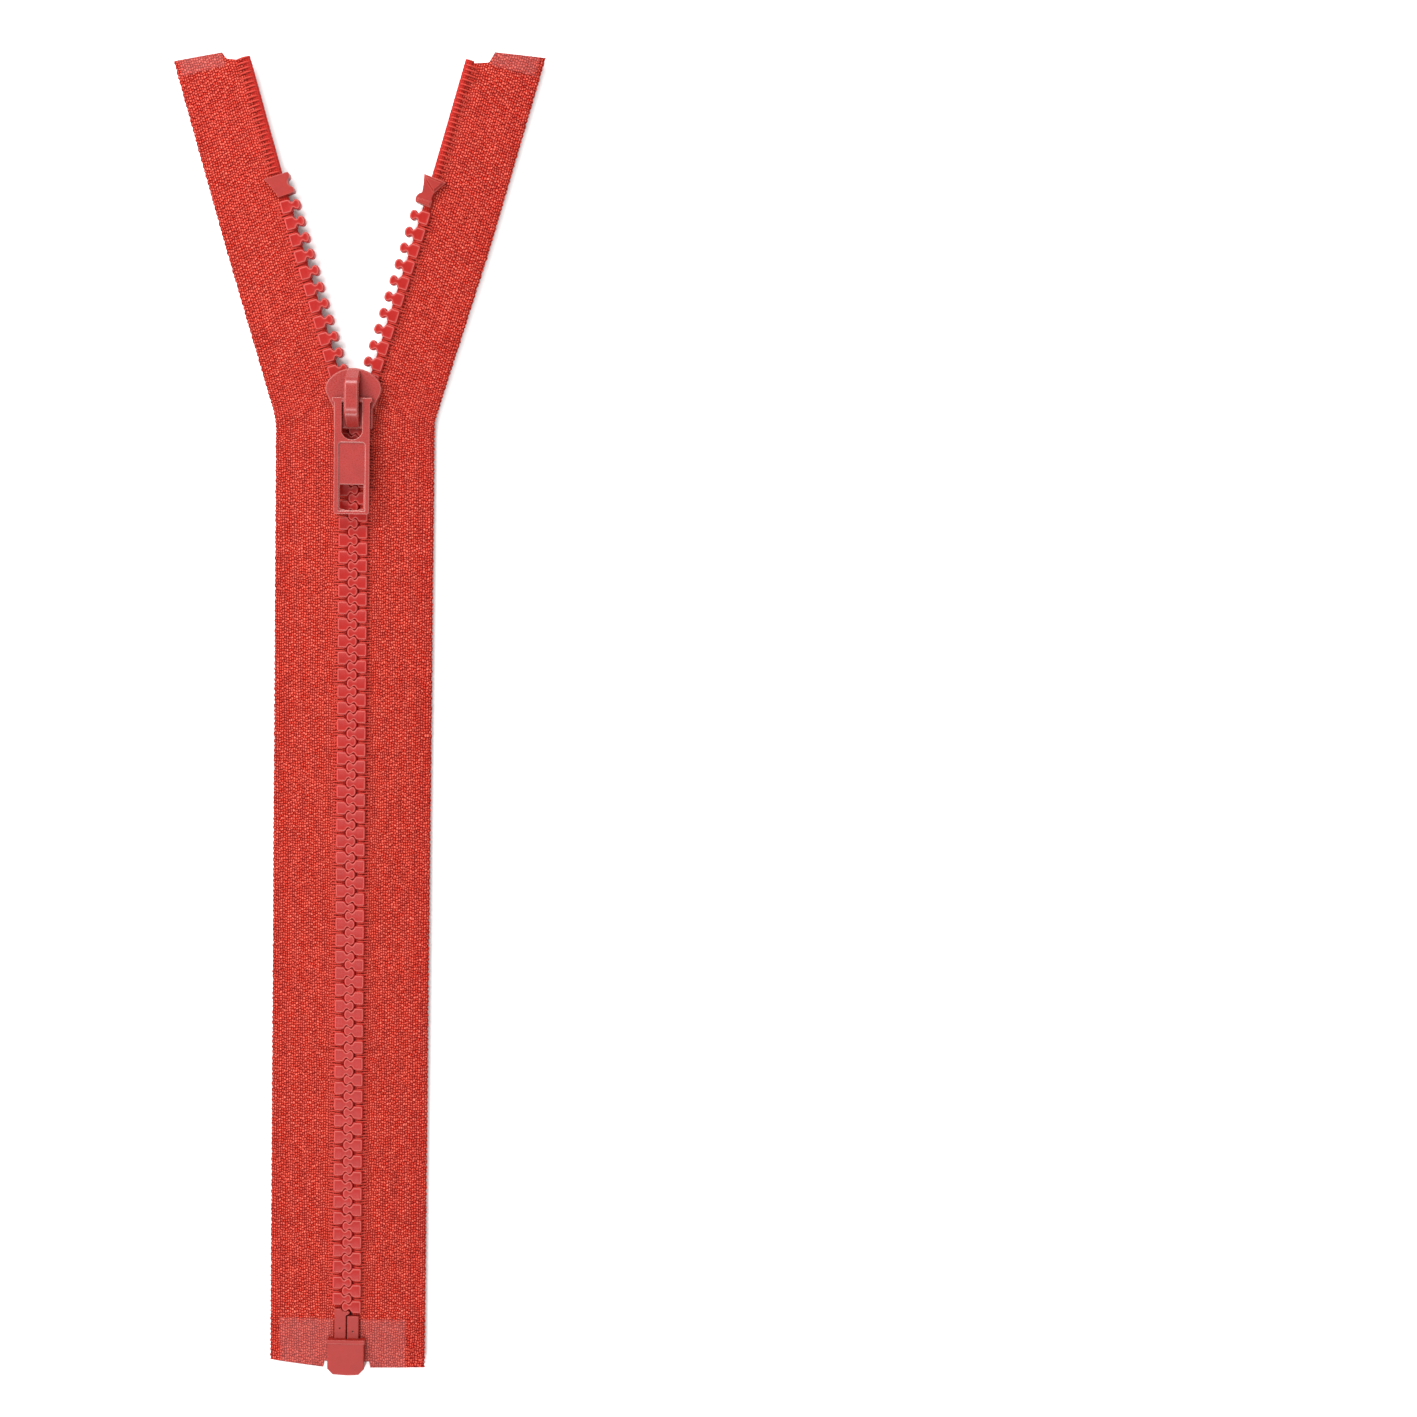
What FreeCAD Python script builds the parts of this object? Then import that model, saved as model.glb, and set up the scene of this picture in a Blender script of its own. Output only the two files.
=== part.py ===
import FreeCAD, Part
import math
import os

# An open-end zipper with moulded teeth, lying flat with its slider partly down.
# X runs across the chain, Y along it towards the top stops, Z up from the slider's back plate.
# Every sub-part is drawn in stations: y = 0 is the bottom of the retainer box, and each
# Placement then moves it so that the middle of the zipper's length is the origin.

LEFT = -1
RIGHT = 1
SIDES = ((LEFT, "left"), (RIGHT, "right"))

# All in millimetres and degrees.
SIZES = {
    "half_length": 138.7,
    # The tapes: a thin band beside the teeth, and a thicker sewing zone outside it.
    "tape_thick": 0.55,
    "sewing_step": 0.05,
    "tape_inner": 2.85,
    "tape_outer": 16.5,
    "sewing_inner": 6.4,
    "foot_tape_inner": 2.0,
    "foot_top": 12.0,
    # The reinforcement film on the ends of the tapes.
    "film_thick": 0.1,
    "film_inner": 4.2,
    "film_outer": 13.4,
    "end_film_depth": 2.8,
    # The cords woven into the tapes' inner edges.
    "cord_dia": 1.3,
    "cord_offset": 2.2,
    # The teeth. The chain's half width is measured to the teeth's outer edges.
    "pitch": 3.5,
    "chain_half": 2.93,
    "tooth_thick": 2.5,
    "tooth_edge": 0.15,
    "first_left": 16.35,
    "first_right": 14.6,
    "chain_teeth": 54,
    "arm_teeth": 13,
    # The two arms that splay above the slider: an arc, a straight run, a slight bend, a tail.
    "bend_station": 202.2,
    "bend_radius": 16.0,
    "left_lean": 16.8,
    "right_lean": 17.1,
    "left_tail_lean": 16.0,
    "right_tail_lean": 15.7,
    "arm_run": 35.0,
    "tail_bend_radius": 200.0,
    # Each arm's end is cut aslant: higher at the selvage, and lower in the notch by the cord.
    "left_arm_end": 79.5,
    "right_arm_end": 80.6,
    "left_cut_rise": 1.0,
    "right_cut_rise": 2.0,
    "left_notch": 1.45,
    "right_notch": 2.3,
    "notch_outer": 6.3,
    "notch_fall": 1.1,
    "left_cord_short": 2.0,
    "right_cord_short": 3.0,
    "left_stop_at": 48.0,
    "right_stop_at": 46.4,
    "stop_thick": 2.7,
    "wedge_high": 0.45,
    "wedge_foot_high": 0.25,
    # The slider's casting.
    "slider_rear": 200.4,
    "slider_length": 12.5,
    "waist_half": 4.05,
    "waist_length": 4.1,
    "rear_corner": 0.5,
    "flare_angle": 27.0,
    "shoulder_radius": 2.9,
    "front_radius": 6.7,
    "channel_half": 3.3,
    "plate_thick": 1.0,
    "inner_gap": 2.9,
    "tape_gap": 1.1,
    "mid_plane": 2.45,
    "plate_edge": 0.2,
    # The crown on the slider's top plate, with lugs pressed into the plate.
    "crown_width": 3.0,
    "crown_high": 3.1,
    "crown_opening_high": 2.4,
    "crown_edge": 0.32,
    "crown_bend": 2.8,
    "lug_width": 1.8,
    "lug_deep": 0.5,
    # The pull tab, whose crossbar turns under the crown.
    "hinge_from_rear": 5.9,
    "hinge_high": 5.7,
    "crossbar_dia": 1.24,
    "tab_thick": 1.3,
    "tab_length": 23.9,
    "tab_above_hinge": 0.42,
    "tab_width": 7.3,
    "wing_half": 4.1,
    "slot_width": 4.3,
    "slot_length": 8.2,
    "window_width": 5.0,
    "panel_half": 2.8,
    "panel_corner": 0.7,
    "tab_panel_deep": 0.3,
    # The flat spring with the locking claw inside the crown.
    "leaf_width": 1.5,
    "leaf_low": 6.42,
    "leaf_thick": 0.25,
    "claw_tip": 3.74,
    "claw_hole_width": 1.9,
    # The retainer box and the two pins in it.
    "box_half": 3.9,
    "box_top": 7.7,
    "box_thick": 4.4,
    "rim_step": 0.14,
    "cavity_half": 2.72,
    "cavity_thick": 2.6,
    "pin_thick": 2.4,
    "pin_inner": 0.1,
    "pin_outer": 2.6,
    "pin_foot": 1.3,
    "insertion_pin_top": 14.2,
    "box_pin_top": 12.6,
    "sink_dia": 0.45,
    "sink_deep": 0.4,
}

doc = FreeCAD.newDocument("Zipper")
sheet = doc.addObject("Spreadsheet::Sheet", "Sizes")
for row, (alias, value) in enumerate(SIZES.items(), start=1):
    sheet.set("A%d" % row, alias)
    sheet.set("B%d" % row, str(value))
    sheet.setAlias("B%d" % row, alias)
doc.recompute()
size = {alias: float(sheet.get(alias)) for alias in SIZES}

finished = {}   # label of each sub-part that is written, and its object


# ---------------------------------------------------------------- drawing helpers

def vector(x, y, z=0.0):
    return FreeCAD.Vector(x, y, z)


def loop(steps, side=RIGHT):
    """A closed outline as sketch geometry. Each step is a point to draw a line to, or a pair
    (middle, end) to draw an arc through. side mirrors it to the left."""
    def placed(point):
        return vector(side * point[0], point[1])
    here = placed(steps[0])
    edges = []
    for step in list(steps[1:]) + [steps[0]]:
        if isinstance(step[0], tuple):
            end = placed(step[1])
            edges.append(Part.Arc(here, placed(step[0]), end))
        else:
            end = placed(step)
            if end.distanceToPoint(here) > 1e-7:
                edges.append(Part.LineSegment(here, end))
        here = end
    return edges


def box_loop(x_low, x_high, y_low, y_high):
    return loop([(x_low, y_low), (x_high, y_low), (x_high, y_high), (x_low, y_high)])


def circle(x, y, radius):
    return [Part.Circle(vector(x, y), vector(0, 0, 1), radius)]


def both_sides(half):
    """An outline symmetric about X = 0, from the right half's steps, bottom to top."""
    back = []
    for before, step in reversed(list(zip(half, half[1:]))):
        end = before[1] if isinstance(before[0], tuple) else before
        target = (-end[0], end[1])
        if isinstance(step[0], tuple):
            back.append(((-step[0][0], step[0][1]), target))
        else:
            back.append(target)
    last = half[-1][1] if isinstance(half[-1][0], tuple) else half[-1]
    return half + [(-last[0], last[1])] + back


def rounded_corner(before, corner, after, radius):
    """The two steps that round a corner between straight lines, with an arc tangent to both."""
    here = vector(*corner)
    back = (vector(*before) - here).normalize()
    on = (vector(*after) - here).normalize()
    half_angle = math.acos(back.dot(on)) / 2
    start = here + back * (radius / math.tan(half_angle))
    end = here + on * (radius / math.tan(half_angle))
    centre = here + (back + on).normalize() * (radius / math.sin(half_angle))
    middle = centre + (here - centre).normalize() * radius
    return [(start.x, start.y), ((middle.x, middle.y), (end.x, end.y))]


# ---------------------------------------------------------------- feature helpers

def new_body(label, keep=True):
    """A PartDesign body drawn in stations, moved to the row's frame."""
    body = doc.addObject("PartDesign::Body", label)
    body.Label = label
    if keep:
        body.setExpression("Placement.Base.y", "-Sizes.half_length")
        finished[label] = body
    return body


def origin_plane(body, role):
    return [item for item in body.Origin.OriginFeatures if item.Role == role][0]


def sketch(body, name, edges, level="0", plane="XY_Plane"):
    drawing = body.newObject("Sketcher::SketchObject", body.Name + "_" + name)
    drawing.AttachmentSupport = [(origin_plane(body, plane), "")]
    drawing.MapMode = "FlatFace"
    drawing.setExpression("AttachmentOffset.Base.z", level)
    drawing.addGeometry(edges)
    return drawing


def pad(body, name, edges, level, height, taper=0.0):
    """Material from level upwards by height; both are expressions on the sheet."""
    feature = body.newObject("PartDesign::Pad", body.Name + "_" + name + "_pad")
    feature.Profile = sketch(body, name, edges, level)
    feature.setExpression("Length", height)
    feature.TaperAngle = taper
    return feature


def side_pad(body, name, edges, width):
    """Material across the chain, from a side profile of (station, height) points."""
    feature = body.newObject("PartDesign::Pad", body.Name + "_" + name + "_pad")
    feature.Profile = sketch(body, name, edges, plane="YZ_Plane")
    feature.Midplane = True
    feature.setExpression("Length", width)
    return feature


def cut(body, name, edges, level, depth):
    """Removes what lies from level downwards by depth."""
    before = volume_now(body)
    feature = body.newObject("PartDesign::Pocket", body.Name + "_" + name + "_cut")
    feature.Profile = sketch(body, name, edges, level)
    feature.setExpression("Length", depth)
    check_cut(body, name, before)
    return feature


def cut_along(body, name, edges):
    """Removes a profile of (x, z) points all the way along Y."""
    before = volume_now(body)
    feature = body.newObject("PartDesign::Pocket", body.Name + "_" + name + "_cut")
    feature.Profile = sketch(body, name, edges, plane="XZ_Plane")
    feature.Midplane = True
    feature.Length = 60.0
    check_cut(body, name, before)
    return feature


def volume_now(body):
    doc.recompute()
    return body.Shape.Volume


def check_cut(body, name, before):
    if volume_now(body) >= before - 1e-4:
        raise RuntimeError("%s: the cut %s removes nothing" % (body.Label, name))


def dress(body, kind, cell, chosen):
    """A Fillet or Chamfer on every edge of the body's tip for which chosen(edge) is true."""
    doc.recompute()
    tip = body.Tip
    names = ["Edge%d" % (i + 1) for i, edge in enumerate(tip.Shape.Edges) if chosen(edge)]
    feature = body.newObject("PartDesign::" + kind, body.Name + "_" + kind.lower())
    feature.Base = (tip, names)
    feature.setExpression("Radius" if kind == "Fillet" else "Size", "Sizes." + cell)
    doc.recompute()
    return feature


def at_height(*heights):
    """Picks the edges that lie flat at one of the heights."""
    def chosen(edge):
        box = edge.BoundBox
        return box.ZLength < 1e-6 and any(abs(box.ZMin - z) < 1e-6 for z in heights)
    return chosen


# ---------------------------------------------------------------- the arms' path

class Arm:
    """The line that an arm's side of the chain follows above bend_station. w is a distance
    outwards from it, d a distance along it; points are (outward, station)."""

    def __init__(self, side, name):
        self.side = side
        self.lean = math.radians(size[name + "_lean"])
        self.tail_lean = math.radians(size[name + "_tail_lean"])
        self.radius = size["bend_radius"]
        self.tail_radius = size["tail_bend_radius"]
        self.bend_end = self.radius * self.lean
        self.run_end = self.bend_end + size["arm_run"]
        self.tail_start = self.run_end + self.tail_radius * (self.lean - self.tail_lean)

    def heading(self, d):
        """Lean from +Y, outwards, at the distance d."""
        if d < self.bend_end:
            return max(d, 0.0) / self.radius
        if d < self.run_end:
            return self.lean
        if d < self.tail_start:
            return self.lean - (d - self.run_end) / self.tail_radius
        return self.tail_lean

    def point(self, d, w=0.0):
        angle = self.heading(d)
        turned = min(max(d, 0.0), self.bend_end) / self.radius
        out = self.radius * (1 - math.cos(turned))
        along = size["bend_station"] + self.radius * math.sin(turned)
        if d < 0:
            along += d
        run = min(max(d - self.bend_end, 0.0), size["arm_run"])
        out += run * math.sin(self.lean)
        along += run * math.cos(self.lean)
        if d > self.run_end:
            # The tail's bend turns about a point on the inner side of the arm.
            out += self.tail_radius * (math.cos(angle) - math.cos(self.lean))
            along += self.tail_radius * (math.sin(self.lean) - math.sin(angle))
            tail = max(d - self.tail_start, 0.0)
            out += tail * math.sin(angle)
            along += tail * math.cos(angle)
        return (out + w * math.cos(angle), along - w * math.sin(angle))

    def edge_up(self, w, end):
        """Outline steps up the arm at the offset w, to the distance end. Past the bend's
        centre there is no arc, so the edge starts where its straight run crosses the bend."""
        bend, run, tail = self.bend_end, self.run_end, self.tail_start
        if w < self.radius:
            first = [self.point(0.0, w), (self.point(bend / 2, w), self.point(bend, w))]
        else:
            first = [(self.radius + (w - self.radius) / math.cos(self.lean), size["bend_station"])]
        middle = (self.point((run + tail) / 2, w), self.point(tail, w))
        return first + [self.point(run, w), middle, self.point(end, w)]

    def edge_down(self, w, end):
        return self.reverse(self.edge_up(w, end))

    @staticmethod
    def reverse(steps):
        ends = [step[1] if isinstance(step[0], tuple) else step for step in steps]
        turned = [ends[-1]]
        for i in range(len(steps) - 1, 0, -1):
            if isinstance(steps[i][0], tuple):
                turned.append((steps[i][0], ends[i - 1]))
            else:
                turned.append(ends[i - 1])
        return turned

    def place(self, item, d):
        """Turns an object drawn about (0, 0) onto the arm at the distance d."""
        out, along = self.point(d)
        angle = -self.side * math.degrees(self.heading(d))
        item.Placement = FreeCAD.Placement(
            vector(self.side * out, along - size["half_length"]),
            FreeCAD.Rotation(vector(0, 0, 1), angle))


ARMS = {name: Arm(side, name) for side, name in SIDES}

TAPE_BACK = "Sizes.mid_plane - Sizes.tape_thick / 2"
SEWING_BACK = TAPE_BACK + " - Sizes.sewing_step"
SEWING_THICK = "Sizes.tape_thick + 2 * Sizes.sewing_step"


# ---------------------------------------------------------------- tapes, film and cords

# The tape's cut edge beside the retainer box, and at the outer selvage.
FOOT_CUT = 1.2
FOOT_CUT_LEFT = 2.3
BOX_NOTCH_TOP = 2.5
BOX_NOTCH_OUTER = 5.1


def foot_tape(side, name):
    """The stiffened end of a tape, notched beside the retainer box."""
    outer_cut = FOOT_CUT_LEFT if side == LEFT else FOOT_CUT
    body = new_body(name + "_tape_foot")
    steps = [(size["foot_tape_inner"], BOX_NOTCH_TOP), (BOX_NOTCH_OUTER - 0.2, BOX_NOTCH_TOP),
             (BOX_NOTCH_OUTER, FOOT_CUT), (size["tape_outer"], outer_cut),
             (size["tape_outer"], size["foot_top"]), (size["foot_tape_inner"], size["foot_top"])]
    pad(body, "cloth", loop(steps, side), TAPE_BACK, "Sizes.tape_thick")


def foot_film(side, name):
    """Film welded on both faces of a tape's foot."""
    outer_cut = FOOT_CUT_LEFT if side == LEFT else FOOT_CUT
    share = (size["film_outer"] - BOX_NOTCH_OUTER) / (size["tape_outer"] - BOX_NOTCH_OUTER)
    film_cut = FOOT_CUT + share * (outer_cut - FOOT_CUT)
    film_top = size["foot_top"] - 0.1
    steps = [(size["film_inner"], BOX_NOTCH_TOP), (BOX_NOTCH_OUTER - 0.2, BOX_NOTCH_TOP),
             (BOX_NOTCH_OUTER, FOOT_CUT), (size["film_outer"], film_cut),
             (size["film_outer"], film_top), (size["film_inner"], film_top)]
    film_pair(name + "_foot_film", loop(steps, side))


def film_pair(label, edges):
    body = new_body(label)
    body.AllowCompound = True
    pad(body, "back", edges, TAPE_BACK + " - Sizes.film_thick", "Sizes.film_thick")
    pad(body, "front", edges, "Sizes.mid_plane + Sizes.tape_thick / 2", "Sizes.film_thick")


def chain_tape(side, name):
    """A tape beside the closed chain, from its foot to the slider."""
    body = new_body(name + "_tape_chain")
    low, high = size["foot_top"], size["bend_station"]
    for zone, inner, level, thick in (
            ("cloth", size["tape_inner"], TAPE_BACK, "Sizes.tape_thick"),
            ("sewing", size["sewing_inner"], SEWING_BACK, SEWING_THICK)):
        steps = [(inner, low), (size["tape_outer"], low), (size["tape_outer"], high), (inner, high)]
        pad(body, zone, loop(steps, side), level, thick)


def cut_rise(name, w):
    """How much further up an arm its end is cut at the offset w than beside the notch."""
    corner = size["notch_outer"]
    return size[name + "_cut_rise"] * (w - corner) / (size["tape_outer"] - corner)


def notched_steps(arm, name):
    """The inner edge of an arm of tape up to its notched end."""
    end, corner = size[name + "_arm_end"], size["notch_outer"]
    base = end - size[name + "_notch"]
    steps = arm.edge_up(size["tape_inner"], base - size["notch_fall"])
    return steps + [arm.point(base, corner - 0.5), arm.point(end, corner)]


def arm_tape(side, name):
    arm = ARMS[name]
    outer = size["tape_outer"]
    end = size[name + "_arm_end"] + cut_rise(name, outer)
    body = new_body(name + "_tape_arm")
    cloth = notched_steps(arm, name) + arm.edge_down(outer, end)
    pad(body, "cloth", loop(cloth, side), TAPE_BACK, "Sizes.tape_thick")
    film_start = size[name + "_arm_end"] - size["end_film_depth"]
    sewing = arm.edge_up(size["sewing_inner"], film_start)
    sewing += arm.edge_down(outer, end - size["end_film_depth"])
    pad(body, "sewing", loop(sewing, side), SEWING_BACK, SEWING_THICK)


def end_film(side, name):
    """Film across the notched end of an arm."""
    arm = ARMS[name]
    end, deep = size[name + "_arm_end"], size["end_film_depth"]
    inner, outer = size["sewing_inner"], size["tape_outer"] - 0.9
    outer_end = end + cut_rise(name, outer)
    steps = [arm.point(end - deep, inner), arm.point(outer_end - deep, outer),
             arm.point(outer_end, outer), arm.point(end, inner)]
    film_pair(name + "_end_film", loop(steps, side))


def chain_cord(side, name):
    """The straight cord in a tape's inner edge, from above the pin to the slider."""
    pin_top = "insertion_pin_top" if side == LEFT else "box_pin_top"
    cord = doc.addObject("Part::Cylinder", name + "_cord_chain")
    cord.Placement = FreeCAD.Placement(
        vector(side * size["cord_offset"], 0, size["mid_plane"]),
        FreeCAD.Rotation(vector(1, 0, 0), -90))
    cord.setExpression("Placement.Base.y", "Sizes.%s + 0.1 - Sizes.half_length" % pin_top)
    cord.setExpression("Radius", "Sizes.cord_dia / 2")
    cord.setExpression("Height", "Sizes.bend_station - Sizes.%s - 0.1" % pin_top)
    finished[cord.Label] = cord


def arm_cord(side, name):
    """The cord up an arm and on to the end of its bare tail."""
    arm = ARMS[name]
    body = new_body(name + "_cord_arm")
    cord_end = size[name + "_arm_end"] - size[name + "_cord_short"]
    steps = arm.edge_up(size["cord_offset"], cord_end)
    route = sketch(body, "route", loop(steps, side)[:-1], "Sizes.mid_plane")
    section = body.newObject("Sketcher::SketchObject", body.Name + "_section")
    section.AttachmentSupport = [(origin_plane(body, "XZ_Plane"), "")]
    section.MapMode = "FlatFace"
    section.setExpression("AttachmentOffset.Base.z", "-Sizes.bend_station")
    section.addGeometry(circle(side * size["cord_offset"], size["mid_plane"], size["cord_dia"] / 2))
    pipe = body.newObject("PartDesign::AdditivePipe", body.Name + "_pipe")
    pipe.Profile = section
    pipe.Spine = (route, ["Edge%d" % (i + 1) for i in range(len(route.Geometry))])


# ---------------------------------------------------------------- teeth and top stops

def make_tooth():
    """One tooth, its outer edge on X = 0 and its head towards +X, moulded round the cord."""
    body = new_body("tooth", keep=False)
    half_body, half_neck, half_head, half_tip = 1.22, 0.47, 0.80, 0.42
    shoulder, neck, head, tip = 1.65, 2.5, 3.22, size["chain_half"] + 0.92
    corner = 0.2
    upper = [(corner, half_body), (shoulder, half_body), ((1.98, 0.66), (neck, half_neck)),
             ((2.86, 0.54), (head, half_head)), ((3.66, 0.76), (tip, half_tip))]
    lower = [((3.66, -0.76), (head, -half_head)), ((2.86, -0.54), (neck, -half_neck)),
             ((1.98, -0.66), (shoulder, -half_body)), (corner, -half_body)]
    steps = [(0.0, -half_body + corner), (0.0, half_body - corner)]
    steps += upper + [(tip, -half_tip)] + lower
    pad(body, "form", loop(steps), "Sizes.mid_plane - Sizes.tooth_thick / 2", "Sizes.tooth_thick")
    half_thick = size["tooth_thick"] / 2
    dress(body, "Chamfer", "tooth_edge",
          at_height(size["mid_plane"] - half_thick, size["mid_plane"] + half_thick))
    clear = 0.02
    cord_at = size["chain_half"] - size["cord_offset"]
    mid, half_tape = size["mid_plane"], size["tape_thick"] / 2
    cut_along(body, "cord", circle(cord_at, mid, size["cord_dia"] / 2 + clear))
    cut_along(body, "slot", box_loop(-1.0, cord_at, mid - half_tape - clear, mid + half_tape + clear))
    return body


def tooth_at(tooth, side, out, along, angle):
    """A copy of the tooth whose outer edge is chain_half outside the point (out, along)."""
    w = size["chain_half"]
    turn = math.degrees(angle) if side == LEFT else 180 - math.degrees(angle)
    shape = tooth.Shape.copy()
    shape.Placement = FreeCAD.Placement(
        vector(side * (out + w * math.cos(angle)), along - w * math.sin(angle)),
        FreeCAD.Rotation(vector(0, 0, 1), turn))
    return shape


def tooth_row(label, teeth):
    """A row of separate teeth. They follow a bent line, which no body's pattern does."""
    row = doc.addObject("Part::Feature", label)
    row.Shape = Part.makeCompound(teeth)
    row.Placement = FreeCAD.Placement(vector(0, -size["half_length"]), FreeCAD.Rotation())
    finished[label] = row


def teeth(tooth, side, name):
    """Teeth at one pitch along the cord: up the chain, then round the bend and up the arm."""
    arm = ARMS[name]
    first, pitch = size["first_" + name], size["pitch"]
    cord_radius = size["bend_radius"] - size["cord_offset"]
    cord_bend = cord_radius * arm.lean
    chain = [first + i * pitch for i in range(int(size["chain_teeth"]))]
    tooth_row(name + "_teeth_chain", [tooth_at(tooth, side, 0.0, station, 0.0) for station in chain])
    on_arm = []
    for i in range(1, int(size["arm_teeth"]) + 1):
        along_cord = chain[-1] + i * pitch - size["bend_station"]
        if along_cord < cord_bend:
            d = along_cord * size["bend_radius"] / cord_radius
        else:
            d = along_cord - cord_bend + arm.bend_end
        on_arm.append(tooth_at(tooth, side, *arm.point(d), arm.heading(d)))
    tooth_row(name + "_teeth_arm", on_arm)


def stop_body(side, name, outline):
    """A top stop moulded over the tape's edge, drawn from its bottom on the arm's line."""
    body = new_body(name + "_top_stop")
    body.setExpression("Placement.Base.y", None)
    pad(body, "plate", loop(outline, side), "Sizes.mid_plane - Sizes.stop_thick / 2", "Sizes.stop_thick")
    mid, half_tape = size["mid_plane"], size["tape_thick"] / 2
    groove_end = side * 9.0
    inner = side * size["cord_offset"]
    cut_along(body, "tape", box_loop(min(inner, groove_end), max(inner, groove_end),
                                     mid - half_tape, mid + half_tape))
    cut_along(body, "cord", circle(inner, mid, size["cord_dia"] / 2))
    return body


def left_stop():
    """A flat plate with a pointed wing over the tape and a wavy inner side."""
    outline = [(2.93, 0.0), ((3.15, 0.9), (3.5, 1.66)), ((4.1, 3.1), (4.9, 4.3)), (-0.3, 4.5),
               ((-0.45, 3.8), (0.05, 3.1)), ((0.35, 2.4), (-0.1, 1.6)), ((-0.6, 1.0), (-0.35, 0.25))]
    body = stop_body(LEFT, "left", outline)
    ARMS["left"].place(body, size["left_stop_at"])


WEDGE_SLOPE = 40.0


def right_stop():
    """A tooth-like foot below a wedge whose faces rise to a blunt peak."""
    outline = [(2.6, 0.0), (2.6, 1.3), (2.3, 1.9), (2.5, 3.0), (4.3, 5.8), (-0.5, 6.25),
               (-0.05, 4.2), (0.15, 2.5), ((-0.75, 1.5), (-0.6, 0.3))]
    body = stop_body(RIGHT, "right", outline)
    top = "Sizes.mid_plane + Sizes.stop_thick / 2"
    wedge = [(2.4, 3.1), (4.1, 5.7), (-0.35, 6.1), (0.2, 5.0)]
    foot = [(2.45, 0.15), (2.45, 1.2), (-0.35, 1.2), (-0.45, 0.4)]
    pad(body, "wedge", loop(wedge, RIGHT), top, "Sizes.wedge_high", taper=-WEDGE_SLOPE)
    pad(body, "foot", loop(foot, RIGHT), top, "Sizes.wedge_foot_high", taper=-WEDGE_SLOPE)
    ARMS["right"].place(body, size["right_stop_at"])


# ---------------------------------------------------------------- the slider

def from_rear(points):
    """Steps given from the slider's rear edge, as stations."""
    rear = size["slider_rear"]
    moved = []
    for step in points:
        if isinstance(step[0], tuple):
            moved.append(tuple((x, y + rear) for x, y in step))
        else:
            moved.append((step[0], step[1] + rear))
    return moved


def slider_side():
    """The right side of the plates' outline from the rear edge, to where its front arc starts.
    A straight waist, a flare, and a shoulder tangent to the flare and to the front arc. The
    shoulder is two arcs of one circle, which meet where the slider is widest."""
    half, corner, shoulder = size["waist_half"], size["rear_corner"], size["shoulder_radius"]
    front = size["front_radius"]
    front_centre = vector(0, size["slider_length"] - front)
    waist = vector(half, size["waist_length"])
    flare = math.radians(size["flare_angle"])
    along = vector(math.sin(flare), math.cos(flare))
    inwards = vector(-along.y, along.x)
    # The shoulder's centre is its radius inside the flare, and front - shoulder from the front's.
    offset = waist + inwards * shoulder - front_centre
    half_b = offset.dot(along)
    reach = -half_b + math.sqrt(half_b ** 2 - offset.dot(offset) + (front - shoulder) ** 2)
    centre = waist + inwards * shoulder + along * reach
    start = waist + along * reach
    outwards = (centre - front_centre).normalize()
    end = centre + outwards * shoulder
    widest = centre + vector(shoulder, 0)
    below = centre + ((start + widest) * 0.5 - centre).normalize() * shoulder
    above = centre + ((widest + end) * 0.5 - centre).normalize() * shoulder
    bevel = corner * (1 - math.sqrt(0.5))
    return [(half - corner, 0.0), ((half - bevel, bevel), (half, corner)), (waist.x, waist.y),
            (start.x, start.y), ((below.x, below.y), (widest.x, widest.y)),
            ((above.x, above.y), (end.x, end.y))]


def plate_outline():
    """Both sides of a plate, joined by the front arc."""
    steps = both_sides(slider_side())
    count = len(slider_side())
    steps[count] = ((0.0, size["slider_length"]), steps[count])
    return steps


def flange_outline():
    """A flange along one edge of a plate, which keeps the teeth in, from the rear edge."""
    inner = size["channel_half"]
    side = slider_side()[:-1]
    widest = side[-1][1]
    return [(inner, 0.0)] + side + [(widest[0] - 0.85, widest[1]), (3.95, 6.1), (inner, 3.0)]


# The diamond that joins the plates and parts the teeth.
DIAMOND = [(-0.15, 8.7), ((0.0, 8.6), (0.15, 8.7)), (1.15, 11.9), ((0.0, 12.4), (-1.15, 11.9))]
# Pockets in the top plate for the crown's lugs: low and high from the rear edge.
LUGS = ((0.6, 1.3), (10.8, 11.6))
CLAW_HOLE = (3.2, 4.3)


def lug_loops(body_function, body, level, length):
    """The same two lugs, padded on the crown or cut from the plate."""
    half = size["lug_width"] / 2
    rear = size["slider_rear"]
    for name, (low, high) in zip(("rear_lug", "front_lug"), LUGS):
        body_function(body, name, box_loop(-half, half, rear + low, rear + high), level, length)


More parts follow.
